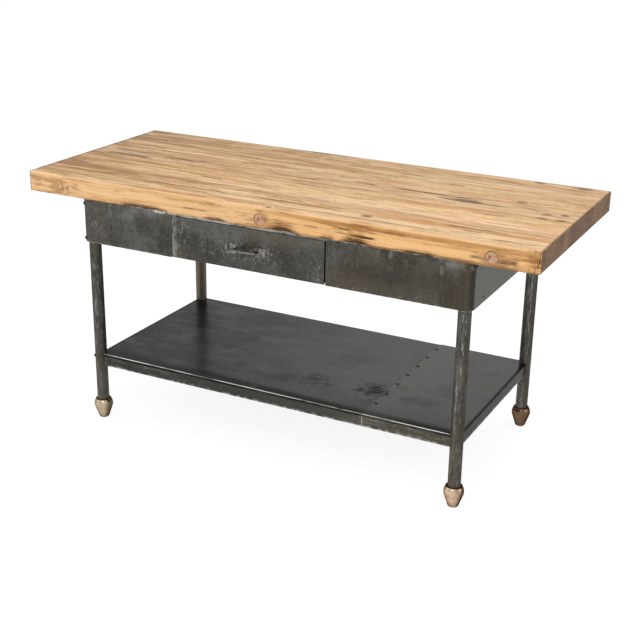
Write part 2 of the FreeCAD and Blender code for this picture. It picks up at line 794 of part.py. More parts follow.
def pull_rivet_places():
    """Places on the drawer face, measured from the middle of the pull."""
    x = "(Size.pull_length / 2 - Size.pull_rivet_inset)"
    z = "(Size.pull_rivet_spread / 2)"
    return [(f"{side} * {x}", f"{rise} * {z}") for side in (-1, 1) for rise in (-1, 1)]


def drawer_front():
    """Shallow steel pan: a face with its four edges turned back."""
    body = new_body("drawer_front")
    face = new_sketch(body, "XZ_Plane", APRON_Y)
    rectangle(face, DRAWER_LEFT, DRAWER_RIGHT, DRAWER_Z, f"{DRAWER_Z} + {DRAWER_HEIGHT}")
    pad(body, face, "Size.drawer_return", reverse=True)
    hollow = new_sketch(body, "XZ_Plane", f"{APRON_Y} - Size.sheet")
    rectangle(hollow, f"{DRAWER_LEFT} + Size.sheet", f"{DRAWER_RIGHT} - Size.sheet",
              f"{DRAWER_Z} + Size.sheet", f"{DRAWER_Z} + {DRAWER_HEIGHT} - Size.sheet")
    pocket(body, hollow, "Size.drawer_return")
    holes = new_sketch(body, "XZ_Plane", APRON_Y)
    for x, z in pull_rivet_places():
        circle(holes, f"Size.drawer_centre + {x}", f"{PULL_Z} + {z}", PULL_RIVET_HOLE)
    pocket(body, holes, "Size.sheet")
    return finish(body)


def tray_sheet(name, left, right, front, back, low, rise):
    """One flat sheet of the tray."""
    body = new_body(name)
    sketch = new_sketch(body, "XY_Plane", low)
    rectangle(sketch, left, right, front, back)
    pad(body, sketch, rise)
    return body


def drawer_tray():
    """Open tray of flat sheets welded edge to face: a floor, two long sides and two ends between them."""
    wall = "Size.tray_sheet"
    low, rise = f"{TRAY_Z} + {wall}", f"Size.tray_height - {wall}"
    inner_left, inner_right = f"{TRAY_LEFT} + {wall}", f"{TRAY_RIGHT} - {wall}"
    inner_front, inner_back = f"{TRAY_FRONT} + {wall}", f"{TRAY_BACK} - {wall}"
    floor = tray_sheet("tray_floor", TRAY_LEFT, TRAY_RIGHT, TRAY_FRONT, TRAY_BACK, TRAY_Z, wall)
    left = tray_sheet("tray_left", TRAY_LEFT, inner_left, TRAY_FRONT, TRAY_BACK, low, rise)
    right = tray_sheet("tray_right", inner_right, TRAY_RIGHT, TRAY_FRONT, TRAY_BACK, low, rise)
    back = tray_sheet("tray_back", inner_left, inner_right, inner_back, TRAY_BACK, low, rise)
    front = tray_sheet("tray_front", inner_left, inner_right, TRAY_FRONT, inner_front, low, rise)
    holes = new_sketch(front, "XZ_Plane", f"-{TRAY_FRONT}")
    for x, z in pull_rivet_places():
        circle(holes, f"Size.drawer_centre + {x}", f"{PULL_Z} + {z}", PULL_RIVET_HOLE)
    pocket(front, holes, wall)
    return group("drawer_tray", [floor, left, right, back, front])


def drawer_stop_tab():
    """Plate welded to the back of the tray, standing above its edge."""
    body = new_body("drawer_stop_tab")
    sketch = new_sketch(body, "XZ_Plane", f"-{TRAY_BACK}")
    edge, half = f"{TRAY_Z} + Size.tray_height", "Size.stop_tab_width / 2"
    rectangle(sketch, f"Size.drawer_centre - {half}", f"Size.drawer_centre + {half}",
              f"{edge} - Size.stop_tab_overlap", f"{edge} + Size.stop_tab_height")
    pad(body, sketch, "Size.sheet", reverse=True)
    return finish(body)


def at_pull(body):
    return place(body, "Size.drawer_centre", f"-{APRON_Y}", PULL_Z)


def pull_plates():
    """Two flat plates with rounded corners, riveted to the drawer face."""
    body = new_body("pull_plates")
    sketch = new_sketch(body, "XZ_Plane")
    outer, half = "Size.pull_length / 2", "Size.pull_plate_height / 2"
    rectangle(sketch, f"{outer} - Size.pull_plate_width", outer, f"-{half}", half)
    for x, z in pull_rivet_places()[2:]:
        circle(sketch, x, z, PULL_RIVET_HOLE)
    pad(body, sketch, "Size.pull_plate_thickness")
    dress(body, "Fillet", "Radius", "Size.pull_plate_corner", plate_corner)
    mirror(body, "YZ_Plane")
    at_pull(body)
    return finish(body)


def plate_corner(edge):
    """True for a straight edge through the plate's thickness at one of its corners."""
    box = edge.BoundBox
    return box.XLength < TOLERANCE and box.ZLength < TOLERANCE


def pull_rod():
    """Round bar bent back at both ends onto the plates."""
    body = new_body("pull_rod")
    reach = "(Size.pull_length / 2 - Size.pull_plate_width + Size.pull_rod_edge)"
    root, out, bend = "-Size.pull_plate_thickness", "-Size.pull_standoff", "Size.pull_rod_bend"
    path = new_sketch(body, "XY_Plane")
    runs = [
        (f"-{reach}", root, f"-{reach}", f"{out} + {bend}"),
        (f"-{reach} + {bend}", out, f"{reach} - {bend}", out),
        (reach, f"{out} + {bend}", reach, root),
    ]
    for index, (x1, y1, x2, y2) in enumerate(runs):
        start = FreeCAD.Vector(value(x1), value(y1), 0)
        end = FreeCAD.Vector(value(x2), value(y2), 0)
        path.addGeometry(Part.LineSegment(start, end), False)
        fix_point(path, index, START, x1, y1)
        fix_point(path, index, END, x2, y2)
    for index, side in enumerate((-1, 1)):
        centre = FreeCAD.Vector(side * value(f"{reach} - {bend}"), value(f"{out} + {bend}"), 0)
        round_edge = Part.Circle(centre, FreeCAD.Vector(0, 0, 1), value(bend))
        first, last = (180, 270) if side < 0 else (270, 360)
        quarter = Part.ArcOfCircle(round_edge, math.radians(first), math.radians(last))
        arc = path.addGeometry(quarter, False)
        path.addConstraint(Sketcher.Constraint("Coincident", arc, START, index, END))
        path.addConstraint(Sketcher.Constraint("Coincident", arc, END, index + 1, START))
        constrain(path, "Radius", (arc,), bend)
    section = new_sketch(body, "XZ_Plane", f"-({root})")
    circle(section, f"-{reach}", "0", "Size.pull_rod_diameter")
    pipe = body.newObject("PartDesign::AdditivePipe", "pull_rod_pipe")
    pipe.Profile = section
    pipe.Spine = path
    doc.recompute()
    at_pull(body)
    return finish(body)


def pull_rivets():
    rivets = []
    for x, z in pull_rivet_places():
        grip = "Size.pull_plate_thickness + Size.sheet + Size.tray_sheet + Size.rivet_tail"
        rivet = headed_pin("pull_rivet", "Size.pull_rivet_head", "Size.pull_rivet_head_height",
                           "Size.pull_rivet_diameter", grip)
        y = f"-{APRON_Y} - Size.pull_plate_thickness"
        place(rivet, f"Size.drawer_centre + {x}", y, f"{PULL_Z} + {z}", axis=(1, 0, 0), angle=90)
        rivets.append(rivet)
    return group("pull_rivets", rivets)


# Shelf
def shelf_sheet(label, end, seam_reach, floor_z, side):
    """Half of the shelf: a sheet with a lip in front and a skirt on three sides, notched round the legs.

    The fourth side is open at the seam, where the floor reaches past it to make the lap.
    """
    body = new_body(label)
    seam = "Size.shelf_seam"
    rim, low = "Size.shelf_rim_height", "(Size.shelf_rim_height - Size.shelf_skirt)"
    hem, skin = "Size.shelf_hem", "Size.sheet"
    block = new_sketch(body, "XY_Plane", low)
    rectangle(block, end, seam, f"-{SHELF_Y}", SHELF_Y)
    pad(body, block, "Size.shelf_skirt")
    above = new_sketch(body, "XY_Plane", rim)
    lip_back = f"-({SHELF_Y} - {hem})"
    rectangle(above, end, seam, lip_back, SHELF_Y)
    pocket(body, above, f"{rim} - {floor_z}")
    under = new_sketch(body, "XY_Plane", low)
    broad = f"{SHELF_Y} - {skin}"
    rectangle(under, f"{end} - {side} * {skin}", seam, f"-({broad})", broad)
    pocket(body, under, f"{floor_z} - {skin} - {low}", reverse=True)
    notches = new_sketch(body, "XY_Plane", rim)
    for face in (-1, 1):
        circle(notches, f"{side} * {LEG_X}", f"{face} * {LEG_Y}", "Size.leg_diameter + 2 * Size.fit_gap")
    pocket(body, notches, "Size.shelf_skirt")
    dress(body, "Fillet", "Radius", f"{hem} / 2 - Size.glue_gap", lambda edge: lengthwise(edge, rim))
    dress(body, "Fillet", "Radius", "Size.shelf_bend", lambda edge: bend_edge(edge, floor_z, lip_back))
    dress(body, "Fillet", "Radius", "Size.shelf_fold", lambda edge: fold_edge(edge, floor_z, end))
    lap = new_sketch(body, "XY_Plane", f"{floor_z} - {skin}")
    lap_half = f"{SHELF_Y} - {hem} - Size.shelf_bend - Size.shelf_lap_gap"
    rectangle(lap, seam, f"{seam} {seam_reach}", f"-({lap_half})", lap_half)
    pad(body, lap, skin)
    holes = new_sketch(body, "XY_Plane", rim)
    for y in shelf_rivet_places():
        circle(holes, SHELF_RIVET_X, y, "Size.shelf_rivet_diameter + 2 * Size.glue_gap")
    pocket(body, holes, "Size.shelf_skirt")
    return finish(body)


def lengthwise(edge, level):
    """True for a straight edge along X at one height."""
    box = edge.BoundBox
    return near(box.ZMin, level) and near(box.ZMax, level) and box.YLength < TOLERANCE


def bend_edge(edge, floor_z, lip_back):
    """True for the inside edge where the floor turns up into the lip."""
    return lengthwise(edge, floor_z) and near(middle(edge).y, lip_back)


def fold_edge(edge, floor_z, end):
    """True for the outer edges where the floor turns down into the back skirt and the end skirt."""
    box = edge.BoundBox
    level = near(box.ZMin, floor_z) and near(box.ZMax, floor_z)
    at_end = box.XLength < TOLERANCE and near(middle(edge).x, end)
    return level and (at_end or lengthwise(edge, floor_z) and near(middle(edge).y, SHELF_Y))


def shelf_rivet_places():
    count = int(value("Size.shelf_rivet_count"))
    first = "Size.shelf_rivet_offset - (Size.shelf_rivet_count - 1) / 2 * Size.shelf_rivet_pitch"
    return [f"{first} + {index} * Size.shelf_rivet_pitch" for index in range(count)]


def shelf_rivets():
    body = headed_pin("shelf_rivets", "Size.shelf_rivet_head", "Size.shelf_rivet_head_height",
                      "Size.shelf_rivet_diameter", "2 * Size.sheet + Size.rivet_tail")
    repeat(body, "Y_Axis", "Size.shelf_rivet_count", "Size.shelf_rivet_pitch")
    place(body, SHELF_RIVET_X, shelf_rivet_places()[0], SHELF_RIGHT_Z)
    return finish(body)


# Assembly
def frame_panels():
    """Makes the apron's panels and returns the places of the screws through their flanges."""
    front, back = f"-{APRON_Y}", APRON_Y
    front_y, back_y = f"-{APRON_Y} + Size.top_screw_inset", f"{APRON_Y} - Size.top_screw_inset"
    spans = [
        ("front_panel_left", PLATE_LEFT, BAY_LEFT),
        ("front_panel_middle", BAY_RIGHT, "Size.front_seam"),
        ("front_panel_right", "Size.front_seam", PLATE_RIGHT),
    ]
    places = []
    for label, left, right in spans:
        length = f"({right} - {left})"
        screws = [f"{length} / 2"]
        panel(label, length, screws, left, front, 0)
        places += [(f"{left} + {screw}", front_y) for screw in screws]
    rail_length = f"({BAY_RIGHT} - {BAY_LEFT})"
    rail_screws = end_screws(rail_length)
    panel("drawer_top_rail", rail_length, rail_screws, BAY_LEFT, front, 0, "Size.rail_height", lip=False)
    places += [(f"{BAY_LEFT} + {screw}", front_y) for screw in rail_screws]
    back_length = f"({PLATE_RIGHT} - {PLATE_LEFT})"
    back_screws = end_screws(back_length) + [f"{back_length} / 3"]
    panel("back_panel", back_length, back_screws, PLATE_RIGHT, back, 180)
    places += [(f"{PLATE_RIGHT} - ({screw})", back_y) for screw in back_screws]
    side_length = f"(2 * {SIDE_HALF})"
    side_screws = [f"{SIDE_HALF} - {SIDE_SCREW_Y}", f"{SIDE_HALF} + {SIDE_SCREW_Y}"]
    for label, side in (("side_panel_left", -1), ("side_panel_right", 1)):
        panel(label, side_length, side_screws, f"{side} * {APRON_X}", f"{-side} * {SIDE_HALF}", 90 * side)
        x = f"{side} * ({APRON_X} - Size.top_screw_inset)"
        places += [(x, f"-{SIDE_SCREW_Y}"), (x, SIDE_SCREW_Y)]
    return places


def strip_screws(number, places):
    """The screws whose middle lies under one strip."""
    low = value(f"{number - 1} * Size.strip_width - {TOP_DEPTH} / 2")
    high = value(f"{number} * Size.strip_width - {TOP_DEPTH} / 2")
    return [(x, y) for x, y in places if low < value(y) < high]


screw_places = frame_panels()
for bay_label, bay_face, bay_side in (("left", BAY_LEFT, -1), ("right", BAY_RIGHT, 1)):
    bay_wall(f"bay_wall_{bay_label}", bay_face, bay_side)
    runner(f"drawer_runner_{bay_label}", bay_face, bay_side)
    screw_places += bay_screws(bay_face, bay_side)
for strip_number in range(1, int(value("Size.strip_count")) + 1):
    top_strip(strip_number, strip_screws(strip_number, screw_places))
top_screws(screw_places)
tie_rods()
rod_end_pieces("tie_rod_washers", SEAT_Y, "Size.washer_thickness", draw_washer)
rod_end_pieces("tie_rod_nuts", f"({SEAT_Y} + Size.washer_thickness)", "Size.nut_thickness", draw_nut)
rod_end_pieces("top_plugs", f"({TOP_DEPTH} / 2 - Size.plug_thickness)", "Size.plug_thickness", draw_plug)
for corner_name, (corner_side, corner_face) in CORNERS.items():
    leg(corner_name, corner_side, corner_face)
    foot(corner_name, corner_side, corner_face)
    corner_plate(corner_name, corner_side, corner_face)
gussets()
leg_welds()
seam_straps()
corner_screws()
side_rivets()
drawer_stop()
drawer_front()
drawer_tray()
drawer_stop_tab()
pull_plates()
pull_rod()
pull_rivets()
shelf_sheet("shelf_sheet_left", f"-{SHELF_X}", "+ Size.shelf_lap_under", SHELF_LEFT_Z, -1)
shelf_sheet("shelf_sheet_right", SHELF_X, "- Size.shelf_lap_over", SHELF_RIGHT_Z, 1)
shelf_rivets()
doc.recompute()

# Every object is checked before anything is written
for item in doc.Objects:
    if "Invalid" in item.State or "Error" in item.State:
        raise RuntimeError(f"{item.Name} failed: {item.State}")
for part in PARTS:
    if part.Shape.isNull() or not part.Shape.isValid():
        raise RuntimeError(f"{part.Label} has no valid shape")

os.makedirs("parts", exist_ok=True)
for part in PARTS:
    part.Shape.exportStep(os.path.join("parts", f"{part.Label}.step"))
print(len(PARTS), "sub-parts written")
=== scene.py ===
"""Looks of the kitchen island: an oiled laminated timber top, dark patinated steel and bronze feet.

Metres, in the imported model's frame: X along the length, the front faces -Y, Z up, origin on the floor.
Names that end in _X, _Y or _Z hold places along that axis: a single one, both ends of a smooth step,
or both ends of a span and its fade.
"""
import math
import random

import bpy
from mathutils import Matrix, Vector, noise


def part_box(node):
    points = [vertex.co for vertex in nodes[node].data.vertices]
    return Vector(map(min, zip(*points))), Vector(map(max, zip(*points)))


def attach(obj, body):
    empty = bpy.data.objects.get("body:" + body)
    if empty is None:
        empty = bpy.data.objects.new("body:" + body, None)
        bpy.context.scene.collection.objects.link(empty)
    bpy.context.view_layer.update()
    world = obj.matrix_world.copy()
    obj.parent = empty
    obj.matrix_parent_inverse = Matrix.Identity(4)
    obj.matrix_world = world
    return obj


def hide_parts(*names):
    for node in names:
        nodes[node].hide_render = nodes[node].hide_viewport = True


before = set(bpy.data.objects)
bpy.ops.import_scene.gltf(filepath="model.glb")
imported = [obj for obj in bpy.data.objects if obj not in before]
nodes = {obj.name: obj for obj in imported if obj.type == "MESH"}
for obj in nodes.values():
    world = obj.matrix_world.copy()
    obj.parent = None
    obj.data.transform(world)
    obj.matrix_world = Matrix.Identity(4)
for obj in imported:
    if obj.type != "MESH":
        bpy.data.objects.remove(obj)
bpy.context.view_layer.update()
MM = 0.001
ORIGIN = (0, 0, 0)

# Camera, fitted to the object's corners in the photograph
IMAGE_SIDE = 640
FOCAL_PIXELS = 1211.04
SENSOR_WIDTH = 36
CAMERA_PLACE = Vector((1.82647, -3.56146, 1.93865))
CAMERA_AZIMUTH = math.radians(26.81)
CAMERA_ELEVATION = math.radians(21.11)
CAMERA_ROLL = math.radians(0.97)

# Light
WHITE = (1, 1, 1, 1)
WORLD_LIGHT = 0.62
FLOOR_MATT = 0.9
FLOOR_GLOW = 0.88
FLOOR_SHADE = 0.22
FLOOR_SIDE = 80
LAMPS = {
    # place, point it faces, side of the panel, watts
    "key": ((0.6, -3.6, 3.2), (0, 0, 0.7), 2.2, 48),
    "fill": ((-3.4, -2, 2.2), (0, 0, 0.6), 2, 22),
    "side": ((3.8, 0.4, 1.3), (0, 0, 0.7), 1.8, 26),
    "top": ((0.3, 0.6, 4.2), (0, 0, 0.9), 3, 30),
}


def srgb(red, green, blue):
    """A colour stated from 0 to 255, in linear light."""
    return tuple(linear(level / 255) for level in (red, green, blue)) + (1,)


def linear(level):
    return level / 12.92 if level <= 0.04045 else ((level + 0.055) / 1.055) ** 2.4


def grey(level):
    """A grey stated in linear light."""
    return (level, level, level, 1)


class Value:
    """A number that nodes work out, for arithmetic with others and with constants."""

    def __init__(self, graph, socket):
        self.graph = graph
        self.socket = socket

    def __add__(self, other):
        return self.graph.math("ADD", self, other)

    def __sub__(self, other):
        return self.graph.math("SUBTRACT", self, other)

    def __rsub__(self, other):
        return self.graph.math("SUBTRACT", other, self)

    def __mul__(self, other):
        return self.graph.math("MULTIPLY", self, other)

    def __abs__(self):
        return self.graph.math("ABSOLUTE", self)

    __radd__ = __add__
    __rmul__ = __mul__

    def step(self, low, high):
        """0 at low and 1 at high with a smooth run between; low may be the larger one."""
        inputs = {"Value": self, "From Min": low, "From Max": high}
        return self.graph.value("MapRange", inputs, interpolation_type="SMOOTHSTEP")

    def span(self, low, high, fade):
        """1 between low and high, fading to 0 outside them."""
        return self.step(low - fade, low) * self.step(high + fade, high)

    def stray(self, pattern, reach):
        """Moved up and down by a noise that has 0.5 as its middle."""
        return self + (pattern - 0.5) * reach


class Graph:
    """The node tree of a material or a world."""

    def __init__(self, owner):
        owner.use_nodes = True
        self.owner = owner
        self.tree = owner.node_tree
        self.tree.nodes.clear()

    def add(self, kind, inputs=(), **settings):
        """Adds a node and returns its outputs."""
        node = self.tree.nodes.new("ShaderNode" + kind)
        for name, setting in settings.items():
            setattr(node, name, setting)
        for key, given in dict(inputs).items():
            given = given.socket if isinstance(given, Value) else given
            if isinstance(given, bpy.types.NodeSocket):
                self.tree.links.new(given, node.inputs[key])
            else:
                node.inputs[key].default_value = given
        return node.outputs

    def value(self, kind, inputs=(), output=0, **settings):
        """Adds a node and returns the number that it works out."""
        return Value(self, self.add(kind, inputs, **settings)[output])

    def math(self, operation, first, second=0):
        return self.value("Math", {0: first, 1: second}, operation=operation)

    def most(self, first, *others):
        for other in others:
            first = self.math("MAXIMUM", first, other)
        return first

    def seen_directly(self):
        """1 for what the camera, a reflection or a clear body looks at, 0 for light on the object."""
        path = self.add("LightPath")
        return self.most(path["Is Camera Ray"], path["Is Glossy Ray"], path["Is Transmission Ray"])


class Look(Graph):
    """The node tree of one material, with patterns that follow the place in space."""

    def __init__(self, name):
        super().__init__(bpy.data.materials.new(name))
        self.place = self.add("TexCoord")["Object"]
        self.x, self.y, self.z = self.split(self.place)

    def split(self, vector):
        return [Value(self, part) for part in self.add("SeparateXYZ", {0: vector})]

    def join(self, x, y, z):
        return self.add("CombineXYZ", {0: x, 1: y, 2: z})[0]

    def distance(self, across, along):
        """Length of the vector with these two parts."""
        vector = self.join(across, along, 0)
        return self.value("VectorMath", {0: vector}, "Value", operation="LENGTH")

    def noise(self, vector, detail=3, roughness=0.55):
        inputs = {"Vector": vector, "Scale": 1, "Detail": detail, "Roughness": roughness}
        return self.value("TexNoise", inputs)

    def texture(self, scale, detail=3, roughness=0.55, shift=ORIGIN):
        """Noise over the place in space, which is first moved and then scaled along each axis."""
        moved = self.add("VectorMath", {0: self.place, 1: shift}, operation="ADD")[0]
        place = self.add("VectorMath", {0: moved, 1: scale}, operation="MULTIPLY")[0]
        return self.noise(place, detail, roughness)

    def mix(self, factor, first, second, blend="MIX"):
        inputs = {0: factor, 6: first, 7: second}
        return self.add("Mix", inputs, data_type="RGBA", blend_type=blend)[2]

    def layered(self, base, *layers):
        """The base with layers over it; a layer is a colour and the weights that multiply."""
        for colour, weight, *others in layers:
            for other in others:
                weight *= other
            base = self.mix(weight, base, colour)
        return base

    def bump(self, height, distance, normal=None):
        inputs = {"Height": height, "Distance": distance}
        if normal:
            inputs["Normal"] = normal
        return self.add("Bump", inputs)[0]

    def normal_parts(self):
        """How far the flat face looks along X, Y and Z, whichever way, each from 0 to 1."""
        return [abs(part) for part in self.split(self.add("NewGeometry")["True Normal"])]

    def facing(self):
        """How far the smooth face looks along +X, +Y and +Z, each from -1 to 1."""
        return self.split(self.add("NewGeometry")["Normal"])

    def nearest_plug(self):
        """Number of the nearest plug, 0 in the middle, and the place from its centre along X and Z."""
        turn = self.math("ROUND", self.x * (1 / PLUG_PITCH))
        return turn, self.x - turn * PLUG_PITCH, self.z - PLUG_Z

    def finish(self, **inputs):
        """The material, with these inputs of its shader: base_color stands for Base Color."""
        sockets = {}
        for name, given in inputs.items():
            sockets[name.replace("_", " ").title().replace("Ior", "IOR")] = given
        shader = self.add("BsdfPrincipled", sockets)[0]
        self.add("OutputMaterial", {"Surface": shader})
        return self.owner


def paint(material, *names):
    """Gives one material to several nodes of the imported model."""
    for name in names:
        nodes[name].data.materials.clear()
        nodes[name].data.materials.append(material)


def named(*starts):
    """Names of the nodes that begin with one of these."""
    return sorted(name for name in nodes if name.startswith(starts))


def add_object(name, data):
    piece = bpy.data.objects.new(name, data)
    bpy.context.scene.collection.objects.link(piece)
    return piece


def add_mesh(name, vertices, faces, material, crease=None):
    """An object with a smooth mesh, sharp where its faces turn by more degrees than the crease."""
    mesh = bpy.data.meshes.new(name)
    mesh.from_pydata(vertices, [], faces)
    mesh.shade_smooth()
    if crease:
        mesh.set_sharp_from_angle(angle=math.radians(crease))
    mesh.materials.append(material)
    return add_object(name, mesh)


def ring_faces(first, rows, count, closed=False, flip=False):
    """Quads between closed outlines of count points, whose points follow one another from first on."""
    faces = []
    for row in range(rows if closed else rows - 1):
        here, after = first + row * count, first + (row + 1) % rows * count
        for index in range(count):
            following = (index + 1) % count
            face = (here + index, here + following, after + following, after + index)
            faces.append(face[:1] + face[:0:-1] if flip else face)
    return faces


# Timber top
STRIPS = named("top_strip")
TOP_LOW, TOP_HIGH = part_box(STRIPS[0])[0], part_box(STRIPS[-1])[1]
TOP_THICKNESS = TOP_HIGH.z - TOP_LOW.z
STRIP_WIDTH = (TOP_HIGH.y - TOP_LOW.y) / len(STRIPS)
FIRST_SEED = 100
PLUG_PITCH = 0.768
PLUG_RADIUS = 0.02
PLUG_Z = 0.858

PALE = srgb(235, 202, 158)
TAN = srgb(200, 154, 104)
ROSE = srgb(194, 141, 92)
BROWN = srgb(130, 83, 32)
HONEY = srgb(237, 197, 146)
AMBER = srgb(208, 155, 90)
OLIVE = srgb(138, 89, 34)
RUST = srgb(150, 88, 42)
END_PALE = srgb(114, 82, 52)
END_DARK = srgb(64, 43, 26)
CRACK = srgb(64, 40, 18)
STAIN = srgb(108, 87, 60)
STREAK = srgb(98, 62, 18)
KNOT = srgb(132, 93, 46)
ARRIS = srgb(88, 68, 46)
BARK = srgb(66, 38, 19)
DEEP_AMBER = srgb(166, 118, 62)
OLIVE_DARK = srgb(106, 72, 32)
# Painted highlight along the upper arris of the front edge
ARRIS_HIGHLIGHT = srgb(248, 208, 158)
PLUG_PALE = srgb(216, 172, 136)
PLUG_RED = srgb(176, 126, 94)
PLUG_SPOT = srgb(150, 98, 68)
PLUG_KNOT = srgb(158, 117, 76)
# Brightens the right of the top face, in linear light
SUNNY = (1.06, 1.05, 1.06, 1)
# Takes blue and some green out of the right of the front edge, in linear light
RIPE = (1.03, 0.98, 0.87, 1)

# Top face
SUNNY_X = (-0.1, 0.6)
DULL_X = (-0.2, -0.95)
CLOUDED_Y = (-0.1, 0.15)
# Front edge
OLIVE_X = (-0.15, 0.4, 0.3)
RIPE_X = (-0.15, 0.25)
DARK_FOOT_X = (0.36, 0.82, 0.06)
ARRIS_HIGHLIGHT_X = (0.9, 0.84)
END_CHECKS_X = (0.868, 0.896)
LEFT_PLUG_X = (-0.5, -0.6)
# Rust at the right of the front edge: step along x, step of the noise, depth of colour
RUST_ENDS = [
    ((0.79, 0.89), (0.46, 0.58), 0.75),
    ((0.85, 0.895), (0.4, 0.54), 0.8),
]

# Dark streaks in the top face: from x, to x, y, half width, depth of colour
STREAKS = [
    (-0.88, -0.68, 0.046, 0.008, 0.75),
    (-0.64, -0.44, 0.022, 0.0095, 0.95),
    (-0.89, -0.58, -0.272, 0.008, 0.6),
    (-0.62, -0.1, -0.288, 0.0085, 0.75),
    (-0.14, 0.26, -0.285, 0.0095, 0.62),
    (-0.02, 0.11, -0.256, 0.007, 0.65),
    (-0.05, 0.05, -0.06, 0.007, 0.55),
    (0.11, 0.22, 0.052, 0.006, 0.8),
    (0.22, 0.6, 0.048, 0.0085, 1),
    (0.49, 0.7, 0.01, 0.008, 0.9),
    (0.56, 0.74, -0.094, 0.0075, 0.65),
    (0.55, 0.79, -0.264, 0.009, 0.7),
    (0.64, 0.71, -0.293, 0.007, 0.65),
    (0.1, 0.75, -0.337, 0.007, 0.45),
    (0.74, 0.9, -0.335, 0.007, 0.6),
    (0.04, 0.11, 0.092, 0.007, 0.55),
    (0.2, 0.31, 0.24, 0.01, 0.55),
    (0.4, 0.48, 0.19, 0.012, 0.5),
    (0.44, 0.51, 0.095, 0.008, 0.45),
    (0.18, 0.25, -0.135, 0.007, 0.5),
    (-0.67, -0.54, -0.236, 0.01, 0.5),
    (-0.38, -0.27, -0.148, 0.0085, 0.55),
    (-0.6, -0.3, 0.185, 0.008, 0.4),
    (-0.35, 0.1, 0.105, 0.007, 0.4),
]
# Greyer smudges, stated the same way
SMUDGES = [
    (-0.88, -0.64, -0.014, 0.023, 0.8),
    (-0.91, -0.8, -0.18, 0.015, 0.5),
    (0.43, 0.61, 0.018, 0.018, 0.9),
    (-0.5, -0.05, 0.226, 0.01, 0.5),
    (-0.26, -0.03, 0.374, 0.012, 0.95),
]
# Pale streaks, stated the same way
LIGHTS = [
    (-0.64, -0.32, -0.02, 0.008, 0.7),
    (-0.88, -0.62, 0.028, 0.006, 0.5),
    (-0.54, -0.2, 0.006, 0.006, 0.75),
    (-0.32, 0.12, -0.015, 0.006, 0.65),
    (-0.3, 0.3, -0.318, 0.009, 0.45),
]
# Knots in the top face: x, y, half length, half width
KNOTS = [
    (0.7, 0.09, 0.015, 0.01),
    (0.812, -0.004, 0.014, 0.009),
    (0.866, 0.01, 0.011, 0.008),
    (0.813, -0.058, 0.014, 0.009),
    (0.873, -0.054, 0.014, 0.009),
    (0.83, 0.36, 0.024, 0.013),
    (0.674, 0.362, 0.014, 0.009),
    (0.333, -0.302, 0.014, 0.013),
    (0.024, -0.366, 0.008, 0.007),
]
# Short dark openings in the front edge: from x, to x, z, half width, depth of colour
EDGE_CHECKS = [
    (0.15, 0.21, 0.864, 0.004, 0.45),
    (0.23, 0.295, 0.86, 0.0036, 0.55),
    (0.27, 0.318, 0.871, 0.0032, 0.7),
    (0.31, 0.41, 0.857, 0.0055, 1),
    (-0.3, -0.18, 0.858, 0.004, 0.5),
    (0.4, 0.52, 0.884, 0.0026, 0.5),
    (0.78, 0.856, 0.852, 0.008, 0.75),
    (0.696, 0.756, 0.852, 0.0065, 0.6),
    (-0.914, -0.86, 0.878, 0.0075, 0.6),
    (-0.86, -0.8, 0.872, 0.004, 0.3),
]
# Hollows along the lower front edge: from x, to x, height, depth
WANES = [
    (-0.6, -0.29, 0.011, 0.014),
    (-0.235, -0.1, 0.008, 0.008),
    (0.008, 0.15, 0.021, 0.016),
    (0.19, 0.28, 0.008, 0.008),
    (0.265, 0.4, 0.024, 0.018),
    (0.44, 0.64, 0.009, 0.01),
]


